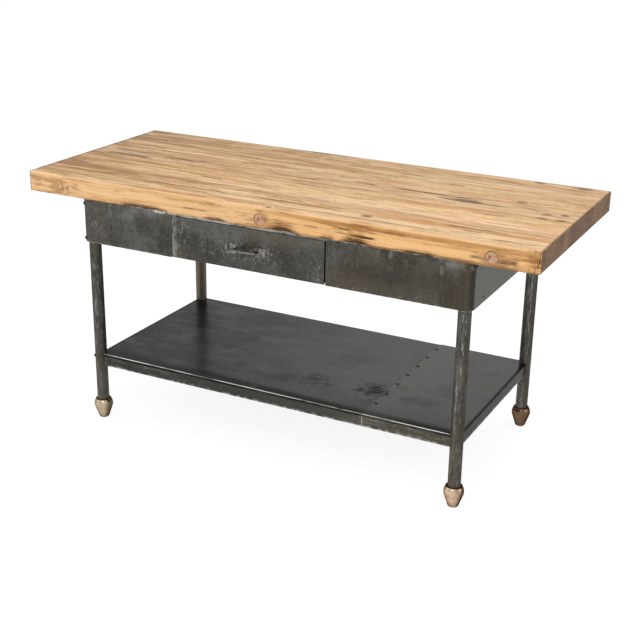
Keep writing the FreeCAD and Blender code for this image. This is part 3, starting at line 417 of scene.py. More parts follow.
class Timber(Look):
    """One strip of timber: growth rings round a heart line outside it, so that its faces agree."""

    def __init__(self, number, box):
        super().__init__(f"timber_{number:02d}")
        self.number = number
        self.low, self.high = box
        self.chance = random.Random(FIRST_SEED + number)
        self.seed = self.chance.uniform(0, 50)
        self.shift = (self.seed, 3.1 * number, 1.7 * number)
        self.knots = []
        grown = self.join(self.heart_distance() * 210, self.x * 0.6, self.seed)
        self.rings = self.noise(grown, 3, 0.6)
        self.fibre = self.grain((14, 520, 520), 2)
        self.fleck = self.grain((9, 105, 105), 5, 0.65)
        self.cloud = self.grain((2.3, 20, 20), 3, 0.6)
        self.late = self.rings.step(0.4, 0.7)
        self.flame = self.cloud.step(0.46, 0.7)
        across, outward, upward = self.normal_parts()
        self.on_edge = outward.step(0.6, 0.8)
        self.on_end = across.step(0.6, 0.8)
        self.on_top = upward.step(0.4, 0.7)

    def grain(self, scale, detail, roughness=0.55):
        """Noise that is this strip's own."""
        return self.texture(scale, detail, roughness, self.shift)

    def heart_distance(self):
        """Distance from the heart line, which sways along the strip and swerves round its knots."""
        heart_y = (self.low.y + self.high.y) / 2 + self.chance.uniform(-0.05, 0.05)
        heart_z = self.low.z - self.chance.uniform(0.02, 0.12)
        reach = self.distance(self.y - heart_y, self.z - heart_z)
        reach = reach.stray(self.grain((1.4, 9, 9), 3), 0.034)
        reach = reach.stray(self.grain((6, 45, 45), 3), 0.005)
        for x, y, half_x, half_y in KNOTS:
            if self.low.y < y < self.high.y:
                spread = self.distance((self.x - x) * (1 / half_x), (self.y - y) * (1 / half_y))
                reach += spread.step(2.8, 0.4) * 0.012
                self.knots.append(spread)
        return reach

    def face_colour(self):
        """Top and underside: rings, flecks, brown clouds, sunnier to the right, dark at both ends."""
        dash = self.grain((23, 120, 120), 4, 0.65)
        broad = self.grain((5, 38, 38), 4, 0.6)
        sunny = self.x.step(*SUNNY_X)
        calm = 1 - sunny * 0.35
        clouded = broad.step(0.54, 0.66) * self.y.step(*CLOUDED_Y)
        dull = self.x.step(*DULL_X) * self.cloud.step(0.34, 0.6)
        colour = self.layered(
            PALE,
            (TAN, self.late),
            (ROSE, self.flame, 0.55),
            (BROWN, self.fleck.step(0.52, 0.63), calm, 0.6),
            (BROWN, dash.step(0.55, 0.64), calm, 0.42),
            (BROWN, self.fibre.step(0.54, 0.78), 0.25),
            (BROWN, clouded, self.on_top, 0.42),
            (BROWN, dull, self.on_top, 0.62),
        )
        colour = self.mix(sunny * self.on_top, colour, SUNNY, "MULTIPLY")
        ends = self.most(
            self.x.step(TOP_LOW.x + 15 * MM, TOP_LOW.x + 3 * MM) * 0.85,
            self.x.step(TOP_HIGH.x - 7 * MM, TOP_HIGH.x - 2 * MM) * 0.55,
        )
        return self.layered(colour, (ARRIS, ends))

    def side_colour(self):
        """Front and back edge of the top."""
        return self.layered(
            HONEY,
            (AMBER, self.late, 0.45),
            (AMBER, self.flame, 0.55),
            (OLIVE, self.fleck.step(0.54, 0.72), 0.45),
        )

    def end_colour(self):
        """End grain."""
        mottled = self.cloud.step(0.4, 0.7)
        return self.layered(END_PALE, (END_DARK, self.late, 0.5), (END_DARK, mottled, 0.5))

    def plain_colour(self):
        """All faces, in the strip's own tone."""
        colour = self.layered(
            self.face_colour(), (self.side_colour(), self.on_edge), (self.end_colour(), self.on_end)
        )
        tone = self.chance.uniform(0.84, 1.06)
        green, blue = self.chance.uniform(0.95, 1), self.chance.uniform(0.9, 1)
        colour = self.mix(1, colour, (tone, tone * green, tone * blue, 1), "MULTIPLY")
        return self.mix(self.on_end, colour, grey(self.chance.uniform(0.72, 1.32)), "MULTIPLY")

    def glue_lines(self):
        """Joints with the neighbouring strips; some are open and some hardly show."""
        lines = []
        if self.number > 1:
            lines.append(self.y - self.low.y)
        if self.number < len(STRIPS):
            lines.append(self.high.y - self.y)
        shown = self.noise(self.join(self.x * 2.6, self.seed, 0), 4, 0.7)
        width = shown.step(0.36, 0.7) * (2.6 * MM)
        joints = [(line - width).step(0.4 * MM, -0.4 * MM) for line in lines]
        return self.most(*joints) * 0.6

    def streak(self, across, mark):
        """A line along X with a wandering, broken edge."""
        start, end, centre, half, depth = mark
        wander = self.texture((9, 45, 45), 5, 0.7, (start, centre, 0))
        offset = (across - centre).stray(wander, 2.4 * half)
        line = abs(offset).step(half, half * 0.45)
        fade = (end - start) * 0.25
        along = self.x.span(start + fade, end - fade, fade)
        broken = self.texture((18, 90, 90), shift=(end, centre, 0)).step(0.24, 0.5)
        return line * along * broken * depth

    def marked(self, colour):
        """The streaks and smudges of the top face that touch this strip."""
        for mark_colour, marks in ((HONEY, LIGHTS), (STAIN, SMUDGES), (STREAK, STREAKS)):
            lines = []
            for mark in marks:
                centre, half = mark[2:4]
                if self.low.y - half < centre < self.high.y + half:
                    lines.append(self.streak(self.y, mark))
            if lines:
                colour = self.layered(colour, (mark_colour, self.most(*lines), self.on_top))
        return colour

    def knotted(self, colour):
        """The strip's knots: a frayed brown patch, a dark ring and a dark pith."""
        for spread in self.knots:
            frayed = spread.stray(self.fleck, 2.2)
            colour = self.layered(
                colour,
                (KNOT, frayed.step(1.9, 0.6), 0.75),
                (CRACK, frayed.span(0.75, 0.95, 0.25), 0.3),
                (CRACK, spread.step(0.45, 0.1), 0.4),
            )
        return colour

    def front_edge(self, colour):
        """What only the front edge shows: olive and rusty patches, a painted highlight along the upper
        arris, bark and checks.
        """
        edge = self.on_edge
        patches = self.texture((5, 30, 48), 5, 0.65, (9, 0, 4))
        rise = self.z - TOP_LOW.z
        right = self.x.step(*RIPE_X)
        olive = patches.step(0.5, 0.64) * rise.step(18 * MM, 46 * MM)
        olive *= 0.4 + self.x.span(*OLIVE_X) * 0.45
        colour = self.layered(colour, (OLIVE, olive, edge))
        colour = self.mix(right * edge, colour, RIPE, "MULTIPLY")
        uneven = rise.stray(patches, 14 * MM)
        band = uneven.span(TOP_THICKNESS - 18 * MM, TOP_THICKNESS - 10 * MM, 6 * MM)
        foot = uneven.step(13 * MM, 3 * MM) * self.x.span(*DARK_FOOT_X)
        rusty = [self.x.step(*ends) * patches.step(*seen) * depth for ends, seen, depth in RUST_ENDS]
        # painted highlight along the eased upper arris of the front edge
        arris_highlight = rise.step(TOP_THICKNESS - 7 * MM, TOP_THICKNESS - 4 * MM)
        colour = self.layered(
            colour,
            (DEEP_AMBER, band, right, edge, 0.5),
            (OLIVE_DARK, foot, edge, 0.75),
            (RUST, self.most(*rusty), edge),
            (ARRIS_HIGHLIGHT, arris_highlight, self.x.step(*ARRIS_HIGHLIGHT_X), edge, 0.7),
            (ARRIS, self.x.step(TOP_LOW.x + 9 * MM, TOP_LOW.x + 1 * MM), edge, 0.6),
        )
        colour = self.barked(self.plug_swirl(colour), rise)
        upright = self.texture((240, 240, 26), 3, 0.6)
        checks = upright.step(0.54, 0.62) * self.x.step(*END_CHECKS_X) * 0.85
        checks = self.most(checks, *(self.streak(self.z, mark) for mark in EDGE_CHECKS))
        return self.layered(colour, (CRACK, checks, edge))

    def plug_swirl(self, colour):
        """Darker timber that closes round the plugs in the front edge, and the plugs' joints."""
        turn, along, rise = self.nearest_plug()
        spread = self.distance((along - turn * 0.03) * 0.4, rise)
        wander = self.texture((16, 40, 60), 5, 0.65)
        halo = spread.stray(wander, 0.12).step(0.03, 0.012)
        joint = self.distance(along, rise).span(PLUG_RADIUS, PLUG_RADIUS + 1.2 * MM, 1 * MM)
        clear = 1.3 - self.x.step(*LEFT_PLUG_X)
        return self.layered(
            colour,
            (OLIVE, halo, self.on_edge, 0.5),
            (CRACK, joint, wander.step(0.4, 0.6), clear, self.on_edge, 0.8),
        )

    def barked(self, colour, rise):
        """Bark in the hollows along the lower edge, with a ragged olive border."""
        ragged = self.texture((11, 40, 95), 4, 0.6, (1, 0, 0))
        frayed = self.texture((34, 40, 330), 3, 0.6, (2, 0, 0))
        for start, end, tall, _ in WANES:
            fade = (end - start) * 0.4
            ends = 1 - self.x.span(start + fade, end - fade, fade)
            level = rise.stray(ragged, 2.2 * tall).stray(frayed, 1.8 * tall)
            level += ends * (1.8 * tall)
            colour = self.layered(
                colour,
                (OLIVE, level.step(tall * 2.4, tall * 0.8), self.on_edge, 0.7),
                (BARK, level.step(tall * 1.2, tall * 0.5), 0.9),
            )
        return colour


def timber(number, box):
    """Material of one strip; the first one is also the front edge."""
    strip = Timber(number, box)
    joints = strip.glue_lines()
    colour = strip.layered(strip.marked(strip.plain_colour()), (BROWN, joints, 0.6))
    if number == 1:
        colour = strip.front_edge(colour)
    colour = strip.knotted(colour)
    rough = 0.46 + (strip.late + strip.fibre) * 0.12
    grain = strip.bump(strip.rings + strip.fibre * 0.6, 0.25 * MM)
    relief = strip.bump(1 - joints, 0.4 * MM, grain)
    return strip.finish(base_color=colour, roughness=rough, normal=relief, specular_ior_level=0.18)


def plug_timber():
    """End-grain plugs: rings round each plug's own heart and a few checks; the left one is knotty."""
    plug = Look("plug_timber")
    turn, along, rise = plug.nearest_plug()
    wander = plug.texture((60,) * 3, 4, 0.65)
    heart = plug.distance(along + 0.006, rise - 0.003)
    rings = plug.noise(plug.join((heart + wander * 0.008) * 420, turn, 0))
    left = plug.x.step(*LEFT_PLUG_X)
    knotty = plug.mix(wander.step(0.4, 0.64), HONEY, PLUG_KNOT)
    pith = heart.step(5.5 * MM, 2 * MM)
    rim = plug.distance(along, rise).step(PLUG_RADIUS - 2.4 * MM, PLUG_RADIUS - 0.6 * MM)
    rim *= wander.step(0.38, 0.58)
    slant = (rise - along * 0.5).stray(wander, 0.012)
    check = abs(slant).step(2.6 * MM, 1 * MM) * wander.step(0.4, 0.52)
    dark = plug.most(pith * 0.8, rim * 0.6, check * 0.6)
    dark *= 1 - left * 0.78
    colour = plug.layered(
        PLUG_PALE,
        (PLUG_RED, rings.step(0.4, 0.65)),
        (PLUG_SPOT, wander.step(0.5, 0.66), 0.45),
        (knotty, left, 0.8),
        (CRACK, dark),
    )
    relief = plug.bump(rings - dark, 0.5 * MM)
    return plug.finish(base_color=colour, roughness=0.6, normal=relief, specular_ior_level=0.3)


# Shape of the front strip
WANE_STEP = 4 * MM
FACE_SET_BACK = 0.4 * MM
FACE_WAVE = 0.25 * MM
FACE_LEVELS = (0.25, 0.5, 0.75)
LOWER_EASE, LOWER_EASE_WAVE = 1.6 * MM, 0.6 * MM
UPPER_EASE, UPPER_EASE_WAVE = 2.2 * MM, 1 * MM
END_EASE = 2 * MM
HOLLOW_FROM, HOLLOW_WAVE = 4 * MM, 1.5 * MM
# Curve of a hollow: shares of its depth, of its height and of its waves
HOLLOW_CURVE = [(1, 0, 0), (0.72, 0.3, 1), (0.4, 0.55, 0.6), (0.12, 0.85, 0), (0, 1, 0)]
STRIP_CREASE = 32


def wane_at(x):
    """Height and depth of the hollow in the lower front edge at one place."""
    height = depth = 0
    for start, end, tall, deep in WANES:
        if start < x < end:
            share = math.sin(math.pi * (x - start) / (end - start)) ** 0.7
            rough = 0.75 + 0.4 * noise.noise((x * 24, start, 0))
            rough += 0.15 * noise.noise((x * 75, end, 0))
            height = max(height, tall * share * rough)
            depth = max(depth, deep * share * rough)
    return height, depth


def front_strip_section(x):
    """Outline of the front strip at one place, from the back of its bottom to the back of its top."""
    front, back = TOP_LOW.y + FACE_SET_BACK, TOP_LOW.y + STRIP_WIDTH
    low, high = TOP_LOW.z, TOP_HIGH.z
    height, depth = wane_at(x)
    height = max(height, LOWER_EASE + LOWER_EASE_WAVE * noise.noise((x * 14, 5, 0)))
    depth = max(depth, LOWER_EASE + LOWER_EASE_WAVE * noise.noise((x * 14, 9, 0)))
    ease = UPPER_EASE + UPPER_EASE_WAVE * noise.noise((x * 9, 0, 3))
    wave = HOLLOW_WAVE * noise.noise((x * 50, 2, 7)) if height > HOLLOW_FROM else 0
    points = [(back, low)]
    for inward, upward, wavy in HOLLOW_CURVE:
        points.append((front + inward * depth, low + upward * height + wavy * wave))
    for share in FACE_LEVELS:
        level = low + height + share * (high - ease - low - height)
        points.append((front + FACE_WAVE * noise.noise((x * 6, level * 40, 1)), level))
    points += [
        (front, high - ease),
        (front + 0.3 * ease, high - 0.3 * ease),
        (front + ease, high),
        (back, high),
    ]
    return points


def front_strip(material):
    """The front strip with its eased edges and the hollows along its lower edge."""
    steps = round((TOP_HIGH.x - TOP_LOW.x) / WANE_STEP)
    middle = (TOP_LOW.z + TOP_HIGH.z) / 2
    vertices = []
    for step in range(steps + 1):
        x = TOP_LOW.x + (TOP_HIGH.x - TOP_LOW.x) * step / steps
        inset = END_EASE if step in (0, steps) else 0
        outline = front_strip_section(x)
        for y, z in outline:
            level = z - math.copysign(inset, z - middle)
            vertices.append((x, max(y, TOP_LOW.y + FACE_SET_BACK + inset), level))
    count = len(outline)
    faces = [tuple(range(count))[::-1], tuple(range(len(vertices) - count, len(vertices)))]
    faces += ring_faces(0, steps + 1, count)
    piece = add_mesh("front_strip", vertices, faces, material, STRIP_CREASE)
    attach(piece, "table")
    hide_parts(STRIPS[0])


# Steel
STEEL_BLACK = srgb(38, 36, 33)
STEEL_DARK = srgb(62, 61, 57)
STEEL_MID = srgb(90, 89, 84)
STEEL_LIGHT = srgb(126, 126, 120)
STEEL_PALE = srgb(172, 170, 163)
STEEL_BROWN = srgb(80, 71, 60)
STEEL_RUST = srgb(88, 76, 56)
# Painted light: the apron's two ends, lit from the side
STEEL_SIDE_LIT = srgb(104, 105, 100)
BRIGHT = srgb(226, 222, 214)
APRON_BROWN = srgb(60, 53, 44)
APRON_FOOT = srgb(124, 115, 102)
# Painted shadow of the pull's rod, with dirt
PULL_SHADE_AND_DIRT = srgb(44, 37, 34)
# Painted light on the rear left leg
LEG_REAR_LIGHT = srgb(140, 126, 110)
# Lighter low on the front legs
LEG_LOWER_PALE = srgb(150, 142, 130)
# Painted shade over the shelf, darker to the left and lighter to the right
SHELF_SHADED_LEFT = srgb(34, 35, 33)
SHELF_LIT_RIGHT = srgb(93, 94, 94)
# Painted dark reflection on the shelf floor behind the front lip
SHELF_LIP_REFLECTION = srgb(18, 18, 17)
SHELF_PALE = srgb(118, 118, 108)
SHELF_STAIN = srgb(14, 13, 12)
SHELF_WIPED = srgb(98, 98, 96)
# Painted shade along the ends of the shelf's floor
SHELF_END_SHADE = srgb(14, 14, 13)
SKIRT_DARK = srgb(52, 49, 43)
SKIRT_OLIVE = srgb(84, 76, 60)
# Painted shade on the ends of the shelf's skirt
SKIRT_END_SHADE = srgb(20, 20, 19)
PLAIN_PALE = srgb(168, 167, 163)
PLAIN_RUST = srgb(120, 92, 70)
# Keep a patina from shining white where it is seen along its face
DULL_EDGE = grey(0.6)
DARK_EDGE = grey(0.35)
BLACK_EDGE = grey(0.12)

LEFT_HALF_X = FRONT_HALF_Y = (0.1, -0.1)
REAR_HALF_Y = (-0.1, 0.1)
APRON_RIGHT_X = (0.15, 0.4)
APRON_LEFT_X = (0.2, -0.3)
APRON_FOOT_X = (0.66, 0.58)
APRON_RUST_X = (0.66, 0.7, 0.025)
DRAWER_BARE_X = (0.05, -0.15)
RAIL_BRIGHT_X = (0.25, -0.15)
LEG_FLAKY_Z = (0.5, 0.64)
LEG_LOWER_Z = (0.26, 0.16)
# Where the shelf's painted shade runs from dark to light
SHELF_SHADE_X = (-0.75, 0.45)
# How the painted reflection behind the shelf's lip narrows to the right
SHELF_LIP_REFLECTION_X = (-0.7, 0.7)
SKIRT_DARK_X = (-0.6, -0.1)
SKIRT_OLIVE_X = (0.1, 0.45)
SKIRT_RUBBED_X = (0.25, 0.45)
SKIRT_WORN_X = (-0.62, -0.36, 0.08)
APRON_SEAMS = ("corner_plate_front_left", "front_panel_right", "front_panel_middle")
# Rubbed places under the apron's upper edge: span of x, steps of depth and grime, weight, colour
APRON_RUBS = [
    ((-0.4, -0.335, 0.03), (14 * MM, 5 * MM), (0.48, 0.6), 0.9, BRIGHT),
    ((0.635, 0.67, 0.03), (45 * MM, 15 * MM), (0.34, 0.56), 0.6, STEEL_LIGHT),
]


class Steel(Look):
    """Patinated sheet: clouds of grey, brown tints, pale wear that runs down it and bright specks."""

    def __init__(self, name, shift=ORIGIN):
        super().__init__(name)
        self.cloud = self.texture((9,) * 3, 4, 0.6, shift)
        self.grime = self.texture((46,) * 3, 5, 0.68, shift)
        drips = self.texture((70, 70, 13), 4, 0.65, shift)
        grit = self.texture((190, 190, 130), 4, 0.75, shift)
        warm = self.texture((7, 7, 6), 4, shift=(5 + shift[0], 2, 7))
        self.worn = (drips * 0.5 + self.grime * 0.5).step(0.52, 0.66)
        self.specks = grit.step(0.52, 0.68) * self.grime.step(0.42, 0.6)
        self.colour = self.mix(self.cloud.step(0.32, 0.68), STEEL_DARK, STEEL_MID)
        self.wear(STEEL_BROWN, warm.step(0.46, 0.66), 0.6)
        self.wear(STEEL_BLACK, self.grime.step(0.45, 0.3), 0.55)
        self.wear(STEEL_LIGHT, grit.step(0.48, 0.66), 0.22)
        self.wear(STEEL_BLACK, grit.step(0.5, 0.34), 0.25)

    def wear(self, colour, *weights):
        """Lays one colour over what is there."""
        self.colour = self.layered(self.colour, (colour, *weights))

    def rub(self, area, depth):
        """Mottled wear over an area: broad grey patches with bright specks in them."""
        self.wear(STEEL_LIGHT, self.worn, area, 0.8 * depth)
        self.wear(STEEL_PALE, self.specks, area, 0.7 * depth)

    def complete(self, rough=0.42, metallic=0.85, edge=DULL_EDGE, pitting=0.12 * MM):
        """The material, with the sheet's broad dents and the pitting of its skin."""
        sheet = self.bump(self.texture((3.2,) * 3, 2), 3 * MM)
        return self.finish(
            base_color=self.colour,
            roughness=rough - 0.1 + (self.grime * 0.25 - self.worn * 0.08),
            metallic=metallic,
            specular_tint=edge,
            normal=self.bump(self.grime, pitting, sheet),
        )


def apron_steel():
    """Sheet of the apron: browner to the right, worn along edges and seams; painted light on its two
    ends and painted shade on its rounded corners.
    """
    steel = Steel("apron_steel")
    low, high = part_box("corner_plate_front_left")
    above, below = steel.z - low.z, high.z - steel.z
    upper = below.step(80 * MM, 12 * MM)
    lower = above.step(34 * MM, 4 * MM)
    corner = steel.x.step(high.x + 30 * MM, high.x - 30 * MM)
    right = steel.x.step(*APRON_RIGHT_X)
    left = steel.x.step(*APRON_LEFT_X)
    foot = above.step(70 * MM, 20 * MM) * steel.x.step(*APRON_FOOT_X)
    steel.wear(APRON_BROWN, right, 0.64)
    steel.wear(APRON_FOOT, foot, right, 0.18)
    steel.rub(steel.most(0.15, upper * 0.4, lower * 0.5, corner * 0.7), 0.7)
    steel.wear(STEEL_LIGHT, upper, steel.cloud.step(0.46, 0.64), 0.22 + left * 0.3)
    steel.wear(STEEL_LIGHT, upper, left, 0.16)
    edge = steel.most(below.step(7 * MM, 3 * MM), above.step(4 * MM, 0))
    steel.wear(STEEL_PALE, edge, steel.grime.step(0.44, 0.6), 0.6)
    for name in APRON_SEAMS:
        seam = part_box(name)[1].x
        beside = steel.x.span(seam - 3 * MM, seam + 2 * MM, 6 * MM)
        steel.wear(STEEL_LIGHT, beside, upper, steel.grime.step(0.4, 0.56), 0.8)
        line = steel.x.span(seam - 0.8 * MM, seam + 0.8 * MM, 0.8 * MM)
        steel.wear(STEEL_BLACK, line, steel.grime.step(0.6, 0.4), 0.7)
    for along, depths, grime, weight, colour in APRON_RUBS:
        rubbed = steel.x.span(*along) * below.step(*depths)
        steel.wear(colour, rubbed, steel.grime.step(*grime), weight)
    runs = steel.texture((150, 150, 7), 3, 0.6)
    steel.wear(STEEL_RUST, steel.x.span(*APRON_RUST_X), runs.step(0.44, 0.6), 0.55)
    across = steel.normal_parts()[0]
    # painted shade on the rounded corners, where the sheet turns from the front to the ends
    steel.wear(STEEL_BLACK, across.span(0.74, 0.95, 0.08), 0.6)
    # painted light: the two ends, which face along X, are made lighter as if lit from the side
    steel.wear(STEEL_SIDE_LIT, across.step(0.96, 0.99), 0.9)
    return steel.complete()


def drawer_steel():
    """Drawer front: rubbed pale along both ends and round the pull, with painted shadow and dirt behind
    the pull's rod.
    """
    steel = Steel("drawer_steel", (3, 0, 1))
    low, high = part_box("drawer_front")
    plates_low, plates_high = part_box("pull_plates")
    rod_low, rod_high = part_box("pull_rod")
    left = steel.x.step(low.x + 110 * MM, low.x + 20 * MM)
    right = steel.x.step(high.x - 100 * MM, high.x - 10 * MM)
    right *= 0.45 + steel.z.step(high.z, low.z) * 0.55
    handled = steel.x.span(plates_low.x - 60 * MM, plates_high.x + 4 * MM, 60 * MM)
    handled *= steel.z.span(plates_low.z - 12 * MM, plates_high.z, 24 * MM)
    bare = 0.12 + steel.x.step(*DRAWER_BARE_X) * 0.26
    steel.rub(steel.most(left, right, handled, bare), 1)
    steel.wear(STEEL_LIGHT, steel.z.step(low.z + 80 * MM, high.z - 12 * MM), 0.18)
    steel.wear(STEEL_DARK, steel.z.step(low.z + 65 * MM, low.z + 20 * MM), 0.22)
    band = steel.x.step(low.x + 24 * MM, low.x + 10 * MM)
    steel.wear(STEEL_PALE, band, steel.grime.step(0.3, 0.62), 0.48)
    # painted shadow of the pull's rod on the drawer front, with dirt in it
    hidden = steel.x.span(rod_low.x + 12 * MM, rod_high.x - 10 * MM, 14 * MM)
    hidden *= steel.z.span(rod_high.z - 2 * MM, rod_high.z + 12 * MM, 6 * MM)
    steel.wear(PULL_SHADE_AND_DIRT, hidden, steel.grime.step(0.6, 0.36), 0.5)
    return steel.complete()


def rail_steel():
    """Rail over the drawer: rubbed bright at its left, duller to the right."""
    steel = Steel("rail_steel", (1, 4, 0))
    patchy = steel.texture((20, 20, 60), 4).step(0.3, 0.56)
    left = 0.35 + steel.x.step(*RAIL_BRIGHT_X) * 0.6
    steel.wear(STEEL_PALE, patchy, left)
    return steel.complete(rough=0.36)


def leg_steel():
    """Pipe with long streaks of brown and rubbed metal; painted light makes it paler towards its left
    and painted shade darkens its right.
    """
    steel = Steel("leg_steel")
    low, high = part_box("leg_front_right")
    axis = (low.x + high.x) / 2
    across = steel.x - steel.math("SIGN", steel.x) * axis
    # painted light: 1 on the left of each pipe, 0 on its right
    lit = across.step(14 * MM, -14 * MM)
    streaks = steel.texture((95, 95, 3.6), 4, 0.6)
    scale = steel.texture((170, 170, 34), 3, 0.7)
    flaky = 0.54 + steel.z.step(*LEG_FLAKY_Z) * 0.4
    steel.wear(STEEL_RUST, streaks.step(0.5, 0.64), 0.75)
    steel.wear(STEEL_LIGHT, streaks.step(0.5, 0.34), 0.1 + lit * 0.6)
    steel.wear(STEEL_PALE, scale.step(0.52, 0.66), streaks.step(0.58, 0.44), flaky)
    steel.wear(STEEL_BLACK, scale.step(0.47, 0.33), 0.8)
    # painted shade down the right of each pipe
    steel.wear(STEEL_BLACK, across.step(4 * MM, 20 * MM), 0.55)
    # painted light on the rear left leg, which stands in shade under the top
    steel.wear(LEG_REAR_LIGHT, steel.y.step(*REAR_HALF_Y), steel.x.step(*LEFT_HALF_X), 0.38)
    # lighter low on the front legs, and a little lighter all over
    scuffed = steel.z.step(*LEG_LOWER_Z) * steel.y.step(*FRONT_HALF_Y)
    steel.wear(LEG_LOWER_PALE, 0.05 + scuffed * 0.08)
    # painted highlight of the weld round the top of each leg, just under the apron
    apron_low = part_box("corner_plate_front_left")[0].z
    under = steel.z.step(apron_low - 9 * MM, apron_low - 2 * MM)
    steel.wear(STEEL_PALE, under, streaks.step(0.36, 0.54), 0.7)
    return steel.complete(rough=0.46, metallic=0.7, edge=DARK_EDGE)


# Stains on the shelf's floor: x, y, radius, depth of colour
STAINS = [
    (0.312, -0.15, 0.06, 0.9),
    (0.272, -0.166, 0.03, 0.9),
    (0.33, -0.245, 0.03, 0.25),
    (0.092, -0.168, 0.055, 0.6),
    (0.15, -0.184, 0.03, 0.6),
    (-0.007, -0.194, 0.06, 0.4),
    (-0.202, -0.183, 0.03, 0.5),
    (-0.288, 0.049, 0.04, 0.4),
    (-0.311, -0.043, 0.03, 0.4),
    (-0.364, 0.075, 0.026, 0.4),
    (0.45, -0.165, 0.05, 0.3),
    (0.505, -0.17, 0.03, 0.3),
    (0.388, -0.089, 0.03, 0.3),
]
RIVET_COUNT = 7
LIP_RISE = 9 * MM
SKIRT_SEAM = 8 * MM


def shelf_steel():
    """Waxed sheet with painted shade, darker to the left: stained floor, front lip worn bright with a
    painted highlight, scuffed skirt, painted shade at its ends.
    """
    steel = Steel("shelf_steel", (2, 6, 0))
    low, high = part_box("shelf_sheet_left")
    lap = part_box("shelf_sheet_right")[0].x
    floor_level = high.z - LIP_RISE
    on_floor = steel.z.step(floor_level - 2 * MM, floor_level)
    skirt = 1 - on_floor
    # painted shade: the sheet darkens towards the left
    shade_ramp = steel.mix(steel.x.step(*SHELF_SHADE_X), SHELF_SHADED_LEFT, SHELF_LIT_RIGHT)
    steel.wear(shade_ramp, 0.65 + on_floor * 0.15)
    shelf_floor(steel, on_floor, low.y, lap)
    shelf_skirt(steel, skirt)
    wiped = steel.texture((4.5, 15, 8), 5, 0.7, (7, 1, 0))
    steel.wear(SHELF_WIPED, wiped.step(0.48, 0.68), on_floor, 0.4)
    # painted shade on the two ends of the skirt, which face along X
    steel.wear(SKIRT_END_SHADE, skirt, steel.normal_parts()[0].step(0.6, 0.8), 0.9)
    # painted shade along both ends of the floor, where it bends down into the skirt
    rim = abs(steel.x).step(-low.x - 13 * MM, -low.x - 6 * MM)
    steel.wear(SHELF_END_SHADE, rim, on_floor, 0.9)
    foot = steel.z.step(low.z + 9 * MM, low.z + 1 * MM)
    steel.wear(STEEL_PALE, foot, steel.grime.step(0.46, 0.6), 0.75)
    # the top of the front lip: worn bright, with a painted highlight along its fold
    front = steel.y.step(low.y + 9 * MM, low.y + 7 * MM)
    lip = steel.z.step(high.z - 2.4 * MM, high.z - 1.2 * MM) * front
    steel.wear(BRIGHT, lip, steel.texture((9, 60, 60), 4).step(0.26, 0.5))
    seam = lap + SKIRT_SEAM
    joint = steel.x.span(seam - 1 * MM, seam + 1 * MM, 1.5 * MM)
    steel.wear(STEEL_PALE, joint, skirt, 0.7)
    return steel.complete(rough=0.24, pitting=0.03 * MM)


def shelf_floor(steel, on_floor, front, lap):
    """Haze, a painted dark reflection behind the lip, a paler sheet beyond the lap seam, and stains."""
    hazy = steel.texture((5, 8, 8), 4, 0.6, (3, 0, 0))
    steel.wear(STEEL_MID, hazy.step(0.5, 0.64), on_floor, 0.45)
    steel.wear(STEEL_BLACK, hazy.step(0.48, 0.34), on_floor, 0.22)
    # painted dark reflection on the floor just behind the front lip, wider to the left
    behind = steel.y - front + steel.x.step(*SHELF_LIP_REFLECTION_X) * (22 * MM)
    steel.wear(SHELF_LIP_REFLECTION, behind.step(78 * MM, 44 * MM), on_floor, 0.92)
    beyond = steel.x.step(lap - 2 * MM, lap + 2 * MM) * steel.x.step(lap + 190 * MM, lap + 20 * MM)
    steel.wear(SHELF_PALE, beyond, on_floor, 0.22)
    lap_line = steel.x.span(lap - 3 * MM, lap, 3 * MM)
    steel.wear(STEEL_BLACK, lap_line, on_floor, steel.grime.step(0.36, 0.6), 0.5)
    steel.wear(SHELF_STAIN, shelf_stains(steel), on_floor)


def shelf_skirt(steel, skirt):
    """The skirt: dark from its middle on, olive and scuffed towards its right end."""
    worn = steel.x.span(*SKIRT_WORN_X) * 0.4
    rubbed = steel.most(steel.x.step(*SKIRT_RUBBED_X), worn)
    scuffs = steel.texture((13, 13, 110), 5, 0.7, (0, 0, 5))
    steel.wear(SKIRT_DARK, skirt, steel.x.step(*SKIRT_DARK_X), 0.6)
    steel.wear(SKIRT_OLIVE, skirt, steel.x.step(*SKIRT_OLIVE_X), 0.45)
    steel.wear(STEEL_LIGHT, skirt, scuffs.step(0.47, 0.64), 0.12 + rubbed, 0.55)
    steel.rub(skirt * (0.04 + rubbed), 0.45)


def shelf_stains(steel):
    """Ragged dark spots, and a dark ring round each rivet of the seam."""
    ragged = steel.texture((44,) * 3, 5, 0.75, (0, 0, 2))
    dark = ragged.step(0.6, 0.76) * 0.25
    for x, y, radius, depth in STAINS:
        spread = steel.distance(steel.x - x, steel.y - y)
        frayed = spread.stray(ragged, 4.5 * radius)
        dark = steel.most(dark, frayed.step(radius * 1.15, radius * 0.1) * depth)
    low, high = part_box("shelf_rivets")
    head = (high.x - low.x) / 2
    pitch = (high.y - low.y - 2 * head) / (RIVET_COUNT - 1)
    along = (steel.y - (low.y + head)) * (1 / pitch)
    nearest = (along - steel.math("ROUND", along)) * pitch
    ring = steel.distance(steel.x - (low.x + head), nearest)
    inside = steel.y.span(low.y, high.y, 1 * MM)
    return steel.most(dark, ring.step(2.4 * head, 1.2 * head) * inside * 0.8)


def rivet_steel():
    """Rivets of the shelf and the apron's ends, and leg bolts: dull heads that hold dirt."""
    steel = Steel("rivet_steel", (4, 3, 0))
    steel.wear(STEEL_BLACK, 0.6)
    return steel.complete(rough=0.5)


def worn_steel():
    """Pull plates, their rivets and the corner screws: dark metal rubbed bright in places."""
    steel = Steel("worn_steel", (7, 1, 2))
    rubbed = steel.texture((140,) * 3, 4, 0.65)
    steel.wear(STEEL_PALE, rubbed.step(0.42, 0.6), 0.65)
    return steel.complete(rough=0.36)


